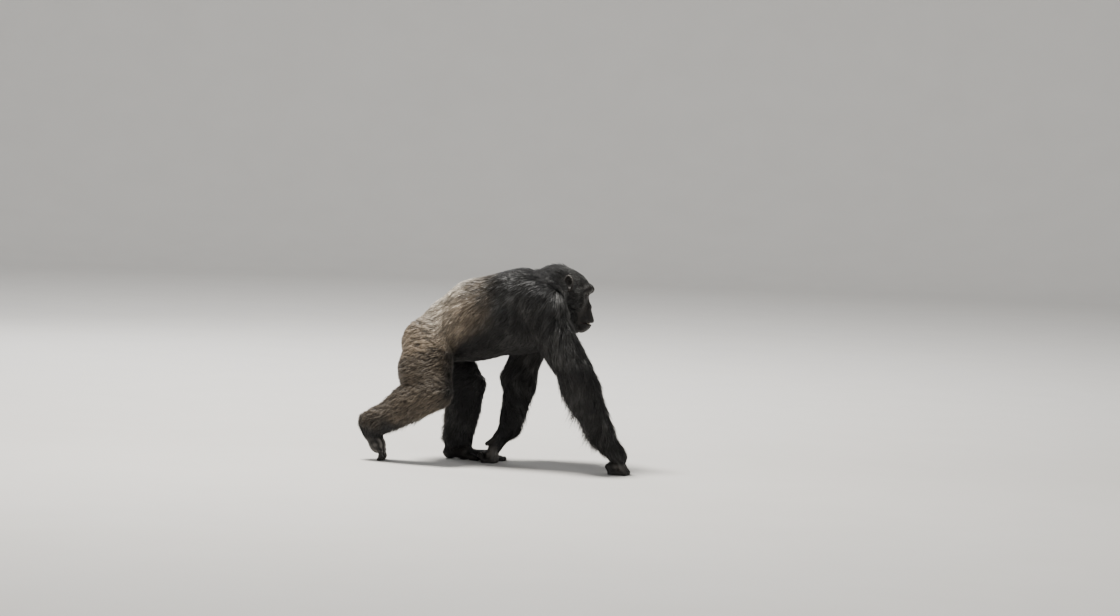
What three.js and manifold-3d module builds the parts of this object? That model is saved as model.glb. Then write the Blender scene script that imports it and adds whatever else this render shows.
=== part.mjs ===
// A life-size male chimpanzee walking on its knuckles. It heads along +X, its left side is +Y and +Z is up.
// One smooth body is described by rounded cones and ellipsoids that melt into each other, sampled along the
// trunk, the head and each limb, parted with thin cuts, and dressed with flat tapered locks of hair.
import * as THREE from "three";
import { mergeVertices } from "three/addons/utils/BufferGeometryUtils.js";
import Module from "manifold-3d";

const wasm = await Module();
wasm.setup();

const V = (x, y, z) => new THREE.Vector3(x, y, z);
const UP = V(0, 0, 1);

// Driving dimensions, in millimetres.
const GAP = 0.3; // between nodes that touch
const FLOOR = -8; // its level under the shapes below
const CELL = { trunk: 34, forearm: 26, shank: 32, hand: 18, foot: 19, head: 14.2 }; // spacing of the corners
const EYE_RADIUS = 11.5;
const EYE = { x: 317, y: 29, z: 639 };
const HEAD_TURN = THREE.MathUtils.degToRad(8); // the head looks a little to the left
const HEAD_PIVOT = V(245, 0, 0);
const EAR = { x: 262, y: 75, z: 679, tall: 32, wide: 23, thick: 8.5, flare: 37 };
const FINGERS = { count: 4, pitch: 19, radius: 11 };
const TOES = { count: 4, pitch: 16.5, radius: 9.4 };
const COAT = { body: 10, crown: 15, brow: 3, belly: -5, root: 9 };
const SPREAD = { along: 0.74, across: 2.1 }; // least way between roots, in lengths and half widths of a lock
const LOCK = {
  trunk: { long: 170, wide: 46, thick: 9 },
  arm: { long: 125, wide: 33, thick: 8 },
  leg: { long: 135, wide: 37, thick: 8 },
  head: { long: 64, wide: 22, thick: 6 },
};
const MOUTH = { half: 37, corner: 308, front: 351, height: 530, depth: 13, open: 3.4 };

const ARMS = {
  right: {
    side: -1,
    shoulder: V(180, -122, 590),
    elbow: V(332, -176, 358),
    wrist: V(438, -126, 132),
    knuckles: V(485, -108, 52),
    fingerJoints: [V(514, -106, -1.5), V(464, -105, -1.5), V(452, -104, 22)],
    thumb: [V(458, -102, 104), V(461, -82, 76), V(461, -76, 50)],
    forward: -28,
    rear: 90,
    fringe: 24,
  },
  left: {
    side: 1,
    shoulder: V(144, 122, 590),
    elbow: V(56, 150, 336),
    wrist: V(32, 72, 122),
    knuckles: V(-13, 54, 51),
    fingerJoints: [V(-17, 53, -1.5), V(-48, 52, -1.5), V(-63, 52, 20)],
    thumb: [V(12, 52, 102), V(-14, 33, 80), V(-38, 27, 64)],
    forward: 14,
    rear: 115,
    fringe: -10,
  },
};

const LEGS = {
  right: {
    side: -1,
    hip: V(-262, -66, 440),
    knee: V(-202, -142, 262),
    ankle: V(-434, -97, 142),
    heel: V(-471, -97, 134),
    ball: V(-429, -90, 52),
    toeJoints: [V(-412, -90, 30), V(-408, -89, 8), V(-414, -89, -2)],
    bigToe: [V(-446, -68, 78), V(-426, -54, 38), V(-414, -50, 1)],
    front: V(-196, 0, 470),
    calfPitch: 24,
  },
  left: {
    side: 1,
    hip: V(-258, 66, 440),
    knee: V(-140, 118, 276),
    ankle: V(-172, 112, 60),
    heel: V(-200, 112, 15),
    ball: V(-64, 126, 9.5),
    toeJoints: [V(-34, 128, 5), V(-16, 129, -1), V(0, 130, -2)],
    bigToe: [V(-128, 96, 10), V(-106, 82, 3), V(-88, 74, 0)],
    front: V(-147, 0, 470),
    calfPitch: 86,
  },
};

// Shapes of the body. Each is a function of a point that is negative inside and about the distance outside.
function cone(a, b, ra, rb, { flat = null, by = 1 } = {}) {
  const along = b.clone().sub(a);
  const length2 = along.lengthSq();
  return (p) => {
    const q = p.clone().sub(a);
    const t = Math.min(1, Math.max(0, q.dot(along) / length2));
    q.addScaledVector(along, -t);
    if (flat) q.addScaledVector(flat, (by - 1) * q.dot(flat));
    return q.length() - (ra + t * (rb - ra));
  };
}

function ball(centre, rx, ry, rz, pitch = 0) {
  const c = Math.cos(THREE.MathUtils.degToRad(pitch));
  const s = Math.sin(THREE.MathUtils.degToRad(pitch));
  return (p) => {
    const x = p.x - centre.x;
    const y = (p.y - centre.y) / ry;
    const z = p.z - centre.z;
    const a = (c * x + s * z) / rx;
    const b = (c * z - s * x) / rz;
    const near = Math.hypot(a, y, b);
    const steep = Math.hypot(a / rx, y / ry, b / rz);
    return steep > 1e-9 ? (near * (near - 1)) / steep : -Math.min(rx, ry, rz);
  };
}

function melt(a, b, width) {
  const h = Math.max(width - Math.abs(a - b), 0) / width;
  return Math.min(a, b) - (h * h * width) / 4;
}

// A list of [shape, melting width] as one function.
function melted(rows) {
  return (p) => rows.reduce((d, [shape, width]) => melt(d, shape(p), width), 1e3);
}

const between = (a, b, t) => a.clone().lerp(b, t);
const sides = (make) => [make(-1), make(1)].flat();

const trunkShape = melted([
  [cone(V(-262, 0, 432), V(-80, 0, 527), 79, 138), 10],
  [cone(V(-80, 0, 527), V(92, 0, 563), 138, 143), 20],
  [ball(V(-276, 0, 408), 80, 108, 60), 40],
  [ball(V(-205, 0, 510), 80, 92, 70, 38), 34],
  [ball(V(-90, 0, 500), 150, 132, 112, 14), 40],
  [ball(V(60, 0, 560), 165, 146, 132), 40],
  [cone(V(120, 0, 596), V(205, 0, 628), 112, 84), 40],
  [ball(V(190, 0, 560), 84, 96, 92), 50],
  ...sides((s) => [[cone(V(60, s * 74, 640), V(165, s * 88, 628), 56, 58), 45]]),
]);

const headRows = [
  [ball(V(236, 0, 655), 84, 66, 70), 20],
  [ball(V(205, 0, 672), 62, 60, 54), 30],
  [ball(V(293, 0, 676), 52, 50, 27, -40), 24],
  ...sides((s) => [
    [cone(V(337, 0, 657), V(330, s * 34, 659), 12, 12.5), 12],
    [cone(V(330, s * 34, 659), V(309, s * 56, 650), 12.5, 10), 12],
    [cone(V(303, s * 55, 640), V(296, s * 54, 612), 11, 17), 14],
    [ball(V(286, s * 42, 604), 34, 24, 34), 20],
    [ball(V(262, s * 46, 640), 44, 24, 42), 24],
    [cone(V(306, 0, 522), V(246, s * 46, 566), 21, 30), 22],
    [ball(V(EYE.x, s * EYE.y, EYE.z), 14, 15, 14), 7],
  ]),
  [ball(V(300, 0, 612), 30, 40, 52), 18],
  [ball(V(298, 0, 568), 48, 45, 42, -12), 20],
  [ball(V(321, 0, 550), 33, 39, 23, -20), 12],
  [ball(V(313, 0, 518), 29, 32, 18, 12), 8],
  [ball(V(328, 0, 592), 15, 20, 11), 9],
  [cone(V(322, 0, 622), V(330, 0, 594), 8, 10), 8],
];
const headInPlace = melted(headRows);

const toHead = (p) => p.clone().sub(HEAD_PIVOT).applyAxisAngle(UP, -HEAD_TURN).add(HEAD_PIVOT);
const fromHead = (p) => p.clone().sub(HEAD_PIVOT).applyAxisAngle(UP, HEAD_TURN).add(HEAD_PIVOT);
const headShape = (p) => headInPlace(toHead(p));

function armShape({ shoulder, elbow, wrist, knuckles, side }) {
  const upper = elbow.clone().sub(shoulder);
  const fore = wrist.clone().sub(elbow);
  const upperBack = V(upper.z, 0, -upper.x).normalize();
  const foreBack = V(fore.z, 0, -fore.x).normalize();
  const palmFacing = knuckles.clone().sub(wrist).cross(V(0, 1, 0)).normalize();
  return melted([
    [ball(shoulder.clone().add(V(16, side * 4, -8)), 74, 58, 78), 10],
    [cone(shoulder, elbow, 64, 50), 24],
    [cone(between(shoulder, elbow, 0.35).addScaledVector(upperBack, 16),
      between(shoulder, elbow, 0.75).addScaledVector(upperBack, 10), 50, 44), 24],
    [cone(elbow, wrist, 47, 29), 18],
    [ball(between(elbow, wrist, 0.2).addScaledVector(foreBack, 4), 47, 43, 62, 65), 20],
    [cone(between(elbow, wrist, 0.92), wrist, 27, 27, { flat: palmFacing, by: 1.25 }), 12],
    [cone(wrist, knuckles, 27, 33, { flat: palmFacing, by: 1.4 }), 14],
  ]);
}

function legShape({ hip, knee, ankle, heel, ball: pad, side, calfPitch }) {
  const shin = ankle.clone().sub(knee).normalize();
  const calfSide = V(shin.z, 0, -shin.x).normalize();
  const sole = pad.clone().sub(heel).cross(V(0, 1, 0)).normalize();
  const raised = heel.z > 60;
  const calf = between(knee, ankle, 0.4).addScaledVector(calfSide, raised ? 12 : 4);
  const underCalf = cone(knee.clone().add(V(-30, 0, -14)), ankle.clone().add(V(16, 0, -6)), 50, 38);
  return melted([
    [cone(hip, knee, 80, 55), 10],
    [ball(between(hip, knee, 0.42).add(V(-8, side * 4, 0)), 88, 68, 100), 26],
    [ball(between(hip, knee, 0.62).add(V(raised ? -52 : -30, side * 2, 0)), 66, 52, 72), 30],
    [cone(knee, ankle, raised ? 57 : 56, raised ? 39 : 47), 20],
    [ball(calf, 82, 52, raised ? 56 : 50, calfPitch), 26],
    ...(raised ? [[underCalf, 20]] : []),
    [ball(heel, 24, 24, 24), 18],
    [cone(ankle, between(heel, pad, 0.45), 35, raised ? 33 : 30), 18],
    [cone(heel, pad, 24, 35, { flat: sole, by: raised ? 1.15 : 1.7 }), 16],
  ]);
}

const armShapes = { right: armShape(ARMS.right), left: armShape(ARMS.left) };
const legShapes = { right: legShape(LEGS.right), left: legShape(LEGS.left) };
const coreOfTrunk = (p) => melt(trunkShape(p), headShape(p), 26);

const ramp = (value, from, to) => THREE.MathUtils.smoothstep(value, Math.min(from, to), Math.max(from, to));

// How far the coat reaches over the flesh: nothing on the face, hands and feet, most behind the forearms.
function coat(p) {
  const q = toHead(p);
  const face = ramp(q.x, 276, 296) * (1 - ramp(q.z, 664, 684)) * (1 - ramp(Math.abs(q.y), 52, 64));
  const rear = ramp(p.x, -390, -370);
  const bare = 1 - ramp(p.z, 70 + 60 * (1 - rear), 120 + 55 * (1 - rear));
  const ear = ramp(q.distanceTo(V(EAR.x, Math.sign(q.y) * EAR.y, EAR.z)), 36, 66);
  let depth = COAT.body + (COAT.crown - COAT.body) * ramp(q.x, 150, 200);
  depth += (COAT.brow - depth) * ramp(q.x, 222, 296) * ramp(p.z, 560, 620);
  depth += COAT.belly * (1 - ramp(p.z, 400, 450)) * ramp(p.z, 350, 380) * (1 - ramp(Math.abs(p.y), 70, 110));
  for (const { elbow, wrist, fringe } of Object.values(ARMS)) {
    const along = wrist.clone().sub(elbow);
    const offset = p.clone().sub(elbow);
    const t = offset.dot(along) / along.lengthSq();
    offset.addScaledVector(along, -t);
    const near = 1 - ramp(offset.length(), 90, 120);
    const rearward = V(along.z, 0, -along.x).normalize().dot(offset.clone().normalize());
    const around = ramp(rearward * Math.sign(fringe), 0.1, 0.95);
    depth += near * Math.abs(fringe) * around * ramp(t, -0.05, 0.65) * (1 - ramp(t, 0.85, 1.12));
  }
  return depth * (1 - face) * (1 - bare) * ear;
}

const withLimb = (limb, width) => (p) => melt(coreOfTrunk(p), limb(p), width);
const limbFields = {
  arm: { right: withLimb(armShapes.right, 34), left: withLimb(armShapes.left, 34) },
  leg: { right: withLimb(legShapes.right, 30), left: withLimb(legShapes.left, 30) },
};
const everyField = [
  limbFields.arm.right, limbFields.arm.left, limbFields.leg.right, limbFields.leg.left,
];
const wholeBody = (p) => Math.min(...everyField.map((field) => field(p)));

// The way out of the surface at a point.
function outward(field, p) {
  const step = 1;
  const slope = (axis) => {
    const d = V(0, 0, 0).setComponent(axis, step);
    return field(p.clone().add(d)) - field(p.clone().sub(d));
  };
  return V(slope(0), slope(1), slope(2)).normalize();
}

// A point moved onto the surface.
function settle(field, p, steps = 4) {
  for (let i = 0; i < steps; i++) p.addScaledVector(outward(field, p), -field(p));
  return p;
}

function geometryOf(points, faces) {
  const geometry = new THREE.BufferGeometry();
  geometry.setAttribute("position", new THREE.Float32BufferAttribute(points.flatMap((p) => p.toArray()), 3));
  geometry.setIndex(faces);
  return geometry;
}

// A closed tube along a smooth path. The sizes give its half width and half height from 0 to 1 along it.
function sweep(points, rings, count, sizes, upright = null) {
  const curve = new THREE.CatmullRomCurve3(points, false, "centripetal");
  const corners = [];
  const faces = [];
  for (let i = -1; i <= rings + 1; i++) {
    const t = Math.min(1, Math.max(0, i / rings));
    const tangent = curve.getTangentAt(t);
    const across = upright ? upright.clone().cross(tangent).normalize() : V(0, 1, 0);
    const u = across.addScaledVector(tangent, -across.dot(tangent)).normalize();
    const v = tangent.clone().cross(u);
    const [wide, high] = sizes(t);
    const dome = i < 0 || i > rings ? 0.62 : 1;
    const beyondEnd = i < 0 ? -1 : i > rings ? 1 : 0;
    const centre = curve.getPointAt(t).addScaledVector(tangent, beyondEnd * 0.72 * Math.min(wide, high));
    for (let k = 0; k < count; k++) {
      const turn = (2 * Math.PI * k) / count;
      const corner = centre.clone().addScaledVector(u, dome * wide * Math.cos(turn));
      corners.push(corner.addScaledVector(v, dome * high * Math.sin(turn)));
    }
  }
  const last = rings + 2;
  for (let i = 0; i < last; i++)
    for (let k = 0; k < count; k++) {
      const a = i * count + k;
      const b = i * count + ((k + 1) % count);
      faces.push(a, b, b + count, a, b + count, a + count);
    }
  for (let k = 2; k < count; k++) {
    faces.push(0, k, k - 1);
    faces.push(last * count, last * count + k - 1, last * count + k);
  }
  return geometryOf(corners, faces);
}

// True where two sheets of a skin share an edge.
function pinched(faces) {
  const seen = new Map();
  for (let i = 0; i < faces.length; i += 3)
    for (let k = 0; k < 3; k++) {
      const ends = [faces[i + k], faces[i + ((k + 1) % 3)]];
      const key = `${Math.min(...ends)} ${Math.max(...ends)}`;
      seen.set(key, (seen.get(key) ?? 0) + 1);
    }
  return [...seen.values()].some((uses) => uses !== 2);
}

// A closed skin over a shape inside a box. The grid moves a little until no two sheets of it touch.
function net(field, low, high, cell, frame = new THREE.Matrix4()) {
  for (let move = 0; move < 12; move++) {
    const skin = skinOnGrid(field, low.clone().addScaledVector(cell, -0.085 * move), high, cell, frame);
    if (!pinched(skin.faces)) return solid(geometryOf(skin.corners, skin.faces));
  }
  throw new Error("no grid gives a clean skin");
}

// One corner in each cell of a grid that the surface crosses, and a face across each edge that does.
// The grid stands at the origin of a frame, which is turned so that long cells lie along a limb.
function skinOnGrid(field, low, high, cell, frame) {
  const axes = ["x", "y", "z"];
  const count = axes.map((axis) => Math.ceil((high[axis] - low[axis]) / cell[axis]) + 1);
  const stride = [1, count[0], count[0] * count[1]];
  const at = (i, j, k) => i + j * stride[1] + k * stride[2];
  const place = ([i, j, k]) => V(i, j, k).multiply(cell).add(low).applyMatrix4(frame);
  const values = new Float32Array(count[0] * count[1] * count[2]);
  const each = (counts, visit) => {
    for (let k = 0; k < counts[2]; k++)
      for (let j = 0; j < counts[1]; j++) for (let i = 0; i < counts[0]; i++) visit(i, j, k);
  };
  each(count, (i, j, k) => {
    const edge = [i, j, k].some((n, axis) => n === 0 || n === count[axis] - 1);
    const d = field(place([i, j, k]));
    values[at(i, j, k)] = edge ? Math.max(d, 5) : d || 1e-3;
  });
  const corners = [];
  const cornerOf = new Map();
  const reach = Math.min(cell.x, cell.y, cell.z) * 0.4;
  each(count.map((n) => n - 1), (i, j, k) => {
    const middle = V(0, 0, 0);
    let crossings = 0;
    for (let axis = 0; axis < 3; axis++)
      for (let other = 0; other < 4; other++) {
        const from = [i, j, k];
        from[(axis + 1) % 3] += other & 1;
        from[(axis + 2) % 3] += other >> 1;
        const a = values[at(...from)];
        const b = values[at(...from) + stride[axis]];
        if (a < 0 === b < 0) continue;
        from[axis] += a / (a - b);
        middle.add(place(from));
        crossings++;
      }
    if (!crossings) return;
    middle.divideScalar(crossings);
    const settled = settle(field, middle.clone(), 2);
    cornerOf.set(at(i, j, k), corners.length);
    corners.push(settled.distanceTo(middle) < reach ? settled : middle);
  });
  const faces = [];
  each(count.map((n) => n - 1), (i, j, k) => {
    for (let axis = 0; axis < 3; axis++) {
      const here = [i, j, k];
      const [next, last] = [(axis + 1) % 3, (axis + 2) % 3];
      if (here[next] === 0 || here[last] === 0) continue;
      const inside = values[at(i, j, k)] < 0;
      if (inside === values[at(i, j, k) + stride[axis]] < 0) continue;
      const quad = [0, stride[next], stride[next] + stride[last], stride[last]]
        .map((back) => cornerOf.get(at(i, j, k) - back));
      if (!inside) quad.reverse();
      const [a, b, c, d] = quad.map((n) => corners[n]);
      if (a.distanceToSquared(c) > b.distanceToSquared(d)) quad.push(quad.shift());
      faces.push(quad[0], quad[1], quad[2], quad[0], quad[2], quad[3]);
    }
  });
  return { corners, faces };
}

// A net round a piece of limb from one joint to the next, its long cells along it.
function netAlong(field, a, b, before, after, room, cell, long) {
  const length = a.distanceTo(b);
  const turn = new THREE.Quaternion().setFromUnitVectors(UP, b.clone().sub(a).normalize());
  const frame = new THREE.Matrix4().compose(a, turn, V(1, 1, 1));
  return net(field, V(-room, -room, -before), V(room, room, length + after), V(cell, cell, long), frame);
}

function solid(geometry) {
  const plain = geometry.clone();
  plain.deleteAttribute("normal");
  plain.deleteAttribute("uv");
  const merged = mergeVertices(plain, 1e-4);
  return new wasm.Manifold(
    new wasm.Mesh({
      numProp: 3,
      vertProperties: new Float32Array(merged.attributes.position.array),
      triVerts: new Uint32Array(merged.index.array),
    }),
  );
}

function geometryFrom(manifold) {
  const mesh = manifold.getMesh();
  const geometry = new THREE.BufferGeometry();
  geometry.setAttribute("position", new THREE.BufferAttribute(new Float32Array(mesh.vertProperties), 3));
  geometry.setIndex(new THREE.BufferAttribute(new Uint32Array(mesh.triVerts), 1));
  return geometry;
}

// The largest closed surface of a solid, without the scraps and sealed hollows that a union can leave.
function largest(manifold) {
  return manifold.decompose().reduce((a, b) => (b.volume() > a.volume() ? b : a));
}

// What lies on the far side of a plane, as a slab whose face stands clear of the plane by half a gap.
function beyond(plane) {
  const size = 900;
  const slab = new THREE.BoxGeometry(size, size, size).translate(0, 0, size / 2 - GAP / 2);
  slab.applyQuaternion(new THREE.Quaternion().setFromUnitVectors(UP, plane.normal));
  slab.translate(plane.point.x, plane.point.y, plane.point.z);
  return solid(slab);
}

const flipped = (plane) => ({ point: plane.point, normal: plane.normal.clone().negate() });
const kept = (manifold, planes) => planes.reduce((m, plane) => m.subtract(beyond(plane)), manifold);

// A box whose faces part a limb from the trunk. Its corners are given in a frame turned about the origin.
function boxAt(origin, turn, low, high, grow) {
  const size = high.clone().sub(low).addScalar(grow);
  const middle = between(low, high, 0.5);
  const box = new THREE.BoxGeometry(size.x, size.y, size.z).translate(middle.x, middle.y, middle.z);
  box.applyMatrix4(new THREE.Matrix4().makeRotationFromEuler(turn));
  return solid(box.translate(origin.x, origin.y, origin.z));
}

// The same numbers each time, so that the coat is always laid alike.
let seed = 23;
function random() {
  seed = (seed * 1664525 + 1013904223) % 4294967296;
  return seed / 4294967296;
}

const flatTo = (direction, normal) =>
  direction.clone().addScaledVector(normal, -direction.dot(normal)).normalize();

// A flat lock that leaves the flesh at its root, widens, bends with the surface and tapers to a tip.
function lock(field, root, lie, { long, wide, thick }) {
  const sway = (random() - 0.5) * 0.5;
  const stretch = 0.85 + 0.3 * random();
  const stations = [[-0.06, 0.5, -1], [0.32, 1, 0.5], [0.72, 0.7, 0.92]];
  const at = root.clone();
  const corners = [];
  let travelled = 0;
  const walk = (to) => {
    const goal = to * long * stretch;
    const step = flatTo(lie(at), outward(field, at)).multiplyScalar(goal - travelled);
    step.applyAxisAngle(outward(field, at), sway * to);
    at.add(step);
    settle(field, at, 3);
    travelled = goal;
    return outward(field, at);
  };
  for (const [along, width, rise] of stations) {
    const up = walk(along);
    const side = up.clone().cross(flatTo(lie(at), up));
    const lift = rise < 0 ? -COAT.root : rise * coat(at);
    for (const s of [-1, 0, 1]) {
      const p = at.clone().addScaledVector(side, s * width * wide);
      const n = s ? outward(field, settle(field, p, 2)) : up;
      corners.push(p.addScaledVector(n, lift - (s ? thick * 0.5 : -thick * 0.5)));
    }
  }
  const up = walk(1);
  corners.push(at.clone().addScaledVector(up, coat(at) * 0.95));
  const faces = [0, 1, 2, 7, 6, 9, 8, 7, 9, 6, 8, 9];
  for (const i of [0, 3])
    for (const [a, b] of [[0, 1], [1, 2], [2, 0]]) {
      faces.push(i + a, i + 3 + a, i + 3 + b, i + a, i + 3 + b, i + b);
    }
  return geometryOf(corners, faces);
}

// Locks joined to a skin one by one. One that would leave two sheets touching along an edge is left out.
function laidOn(skin, locks) {
  return locks.reduce((body, hair) => {
    const joined = body.add(hair);
    return pinched(mergeVertices(geometryFrom(joined), 1e-4).index.array) ? body : joined;
  }, skin);
}

// Roots spread evenly over a skin, no two closer than a part of a lock, and a lock on each.
function locksOn(skin, field, lie, sizeAt, tries) {
  const mesh = skin.getMesh();
  const corner = (i) => V(...mesh.vertProperties.slice(i * 3, i * 3 + 3));
  const triangles = Array.from({ length: mesh.triVerts.length / 3 }, (_, i) =>
    [0, 1, 2].map((k) => corner(mesh.triVerts[i * 3 + k])));
  let total = 0;
  const sums = triangles.map(([a, b, c]) => (total += b.clone().sub(a).cross(c.clone().sub(a)).length()));
  const roots = [];
  for (let i = 0; i < tries; i++) {
    const pick = random() * total;
    const [a, b, c] = triangles[sums.findIndex((sum) => sum >= pick)];
    const [u, v] = [random(), random()];
    const [s, t] = u + v > 1 ? [1 - u, 1 - v] : [u, v];
    const p = a.clone().addScaledVector(b.clone().sub(a), s).addScaledVector(c.clone().sub(a), t);
    const size = sizeAt(p);
    if (!size) continue;
    const along = flatTo(lie(p), outward(field, p));
    const crowded = roots.some((other) => {
      const away = p.clone().sub(other.p);
      const forward = away.dot(along) / (size.long * SPREAD.along);
      const rest = away.lengthSq() - away.dot(along) ** 2;
      return forward ** 2 + rest / (size.wide * SPREAD.across) ** 2 < 1;
    });
    if (!crowded) roots.push({ p, size });
  }
  return roots.map(({ p, size }) => solid(lock(field, p, lie, size)))
    .filter((hair) => hair.volume() > 0.3 * hair.surfaceArea());
}

// Where the nodes part.
const CUT = {
  neckTop: { point: V(222, 0, 622), normal: V(0.85, 0, 0.526).normalize() },
  neckBase: { point: V(176, 0, 600), normal: V(0.85, 0, 0.526).normalize() },
  waist: { point: V(-60, 0, 520), normal: V(0.95, 0, 0.3).normalize() },
  loin: { point: V(-185, 0, 480), normal: V(0.86, 0, 0.5).normalize() },
  armpit: 78,
  groin: 50,
  groinLean: 14,
};

function jointPlane(a, joint, b) {
  const normal = b.clone().sub(joint).normalize().add(joint.clone().sub(a).normalize()).normalize();
  return { point: joint, normal };
}

const group = new THREE.Group();
function addNode(name, manifold, colour) {
  const material = new THREE.MeshStandardMaterial({ color: colour, roughness: 0.85, metalness: 0 });
  const mesh = new THREE.Mesh(geometryFrom(manifold), material);
  mesh.name = name;
  group.add(mesh);
}

const outer = (side) => [side > 0 ? 0 : -260, side > 0 ? 260 : 0];

function armBox({ shoulder, side, forward, rear }, grow) {
  const [low, high] = outer(side);
  const turn = new THREE.Euler(0, THREE.MathUtils.degToRad(forward), 0);
  const corner = V(shoulder.x, side * CUT.armpit, shoulder.z);
  return boxAt(corner, turn, V(-rear, low, -500), V(300, high, 110), grow);
}

function thighBox({ front, side }, grow) {
  const [low, high] = outer(side);
  const lean = THREE.MathUtils.degToRad(-side * CUT.groinLean);
  const turn = new THREE.Euler(lean, THREE.MathUtils.degToRad(-20), 0, "YXZ");
  return boxAt(V(front.x, side * CUT.groin, front.z), turn, V(-340, low, -560), V(0, high, 25), grow);
}

// Flesh with locks laid over it, parted by planes.
function dressed(skin, field, lie, size, planes, tries) {
  const sizeAt = (p) => (planes.some((plane) => pastPlane(plane, p) > -8) || coat(p) < 4 ? null : size);
  return kept(laidOn(skin, locksOn(skin, field, () => lie, sizeAt, tries)), planes);
}

const limbBoxes = ["right", "left"].flatMap((side) => [armBox(ARMS[side], GAP), thighBox(LEGS[side], GAP)]);
const withoutLimbs = (manifold) => limbBoxes.reduce((m, box) => m.subtract(box), manifold);
const floor = solid(new THREE.BoxGeometry(2000, 2000, 200).translate(0, 0, FLOOR - 100));

const lieOfBack = new THREE.Matrix4().makeTranslation(-40, 0, 500)
  .multiply(new THREE.Matrix4().makeRotationY(THREE.MathUtils.degToRad(-18)));
const trunkCell = V(CELL.trunk * 1.3, CELL.trunk, CELL.trunk);
const flesh = net(wholeBody, V(-440, -230, -330), V(420, 230, 250), trunkCell, lieOfBack);

// The way the coat lies: back and down on the trunk, down each limb, and away from the face on the head.
const towards = (a, b, x, z) => b.clone().sub(a).normalize().add(V(x, 0, z));
const lieOfTrunk = (p) => V(-1, 0, -0.35 - 0.9 * Math.min(1, Math.abs(p.y) / 140) ** 2);
const lieOfHead = (p) => toHead(p).sub(V(345, 0, 600)).add(V(0, 0, -20)).applyAxisAngle(UP, HEAD_TURN);
const limbsOf = (side) => {
  const arm = ARMS[side];
  const leg = LEGS[side];
  return [
    { shape: armShapes[side], lie: towards(arm.shoulder, arm.elbow, -0.25, -0.1), size: LOCK.arm },
    { shape: legShapes[side], lie: towards(leg.hip, leg.knee, -0.4, -0.1), size: LOCK.leg },
  ];
};
const limbs = [...limbsOf("right"), ...limbsOf("left")];
const limbAt = (p) => limbs.find(({ shape }) => shape(p) < 6);
const pastPlane = ({ point, normal }, p) => p.clone().sub(point).dot(normal);
const ends = Object.keys(ARMS).flatMap((side) => {
  const arm = ARMS[side];
  const leg = LEGS[side];
  return [
    { at: arm.elbow, plane: jointPlane(arm.shoulder, arm.elbow, arm.wrist) },
    { at: leg.knee, plane: jointPlane(leg.hip, leg.knee, leg.ankle) },
  ];
});
const sizeOnBody = (p) => {
  if (pastPlane(CUT.neckTop, p) > -6 || coat(p) < 6) return null;
  if (ends.some(({ at, plane }) => at.distanceTo(p) < 150 && pastPlane(plane, p) > -10)) return null;
  return limbAt(p)?.size ?? LOCK.trunk;
};
const lieOnBody = (p) => limbAt(p)?.lie ?? lieOfTrunk(p);
const furry = laidOn(flesh, locksOn(flesh, wholeBody, lieOnBody, sizeOnBody, 2600));
const trunk = withoutLimbs(furry);
addNode("neck", largest(kept(trunk, [CUT.neckTop, flipped(CUT.neckBase)])), 0x2a2826);
addNode("chest", largest(kept(trunk, [CUT.neckBase, flipped(CUT.waist)])), 0x2c2a27);
addNode("abdomen", largest(kept(trunk, [CUT.waist, flipped(CUT.loin)])), 0x4a443b);
addNode("pelvis", largest(kept(trunk, [CUT.loin])), 0x6a6050);

// A finger or toe as a tube that rounds each of its joints.
function digit(joints, radius) {
  const path = joints.flatMap((joint, i) =>
    i === 0 || i === joints.length - 1
      ? [joint]
      : [between(joint, joints[i - 1], 0.3), between(joint, joints[i + 1], 0.3)]);
  return solid(sweep(path, 3, 6, (t) => [radius * (1.12 - 0.3 * t), radius * (1.12 - 0.3 * t)]));
}

function digits(base, joints, { count, pitch, radius }, reach) {
  return Array.from({ length: count }, (_, i) => {
    const step = i - (count - 1) / 2;
    const bow = reach * (1 - (step / ((count - 1) / 2)) ** 2);
    const path = [base.clone().add(V(0, step * pitch * 0.92, 0)),
      ...joints.map((joint) => joint.clone().add(V(bow, step * pitch, 0)))];
    return digit(path, radius * (1 - 0.03 * Math.abs(step)));
  });
}

const inHead = (geometry) => {
  const m = new THREE.Matrix4().makeTranslation(HEAD_PIVOT)
    .multiply(new THREE.Matrix4().makeRotationZ(HEAD_TURN))
    .multiply(new THREE.Matrix4().makeTranslation(HEAD_PIVOT.clone().negate()));
  return geometry.applyMatrix4(m);
};
const orb = (x, y, z, rx, ry, rz, around = 12, down = 8) =>
  new THREE.SphereGeometry(1, around, down).rotateX(Math.PI / 2).scale(rx, ry, rz).translate(x, y, z);

const asEar = (geometry, side) => solid(inHead(
  geometry.rotateZ(side * THREE.MathUtils.degToRad(EAR.flare)).translate(EAR.x, side * EAR.y, EAR.z)));
const earRoom = (side) => asEar(orb(0, 0, 0, EAR.wide + 1, EAR.thick + 1, EAR.tall + 1), side);

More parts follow.
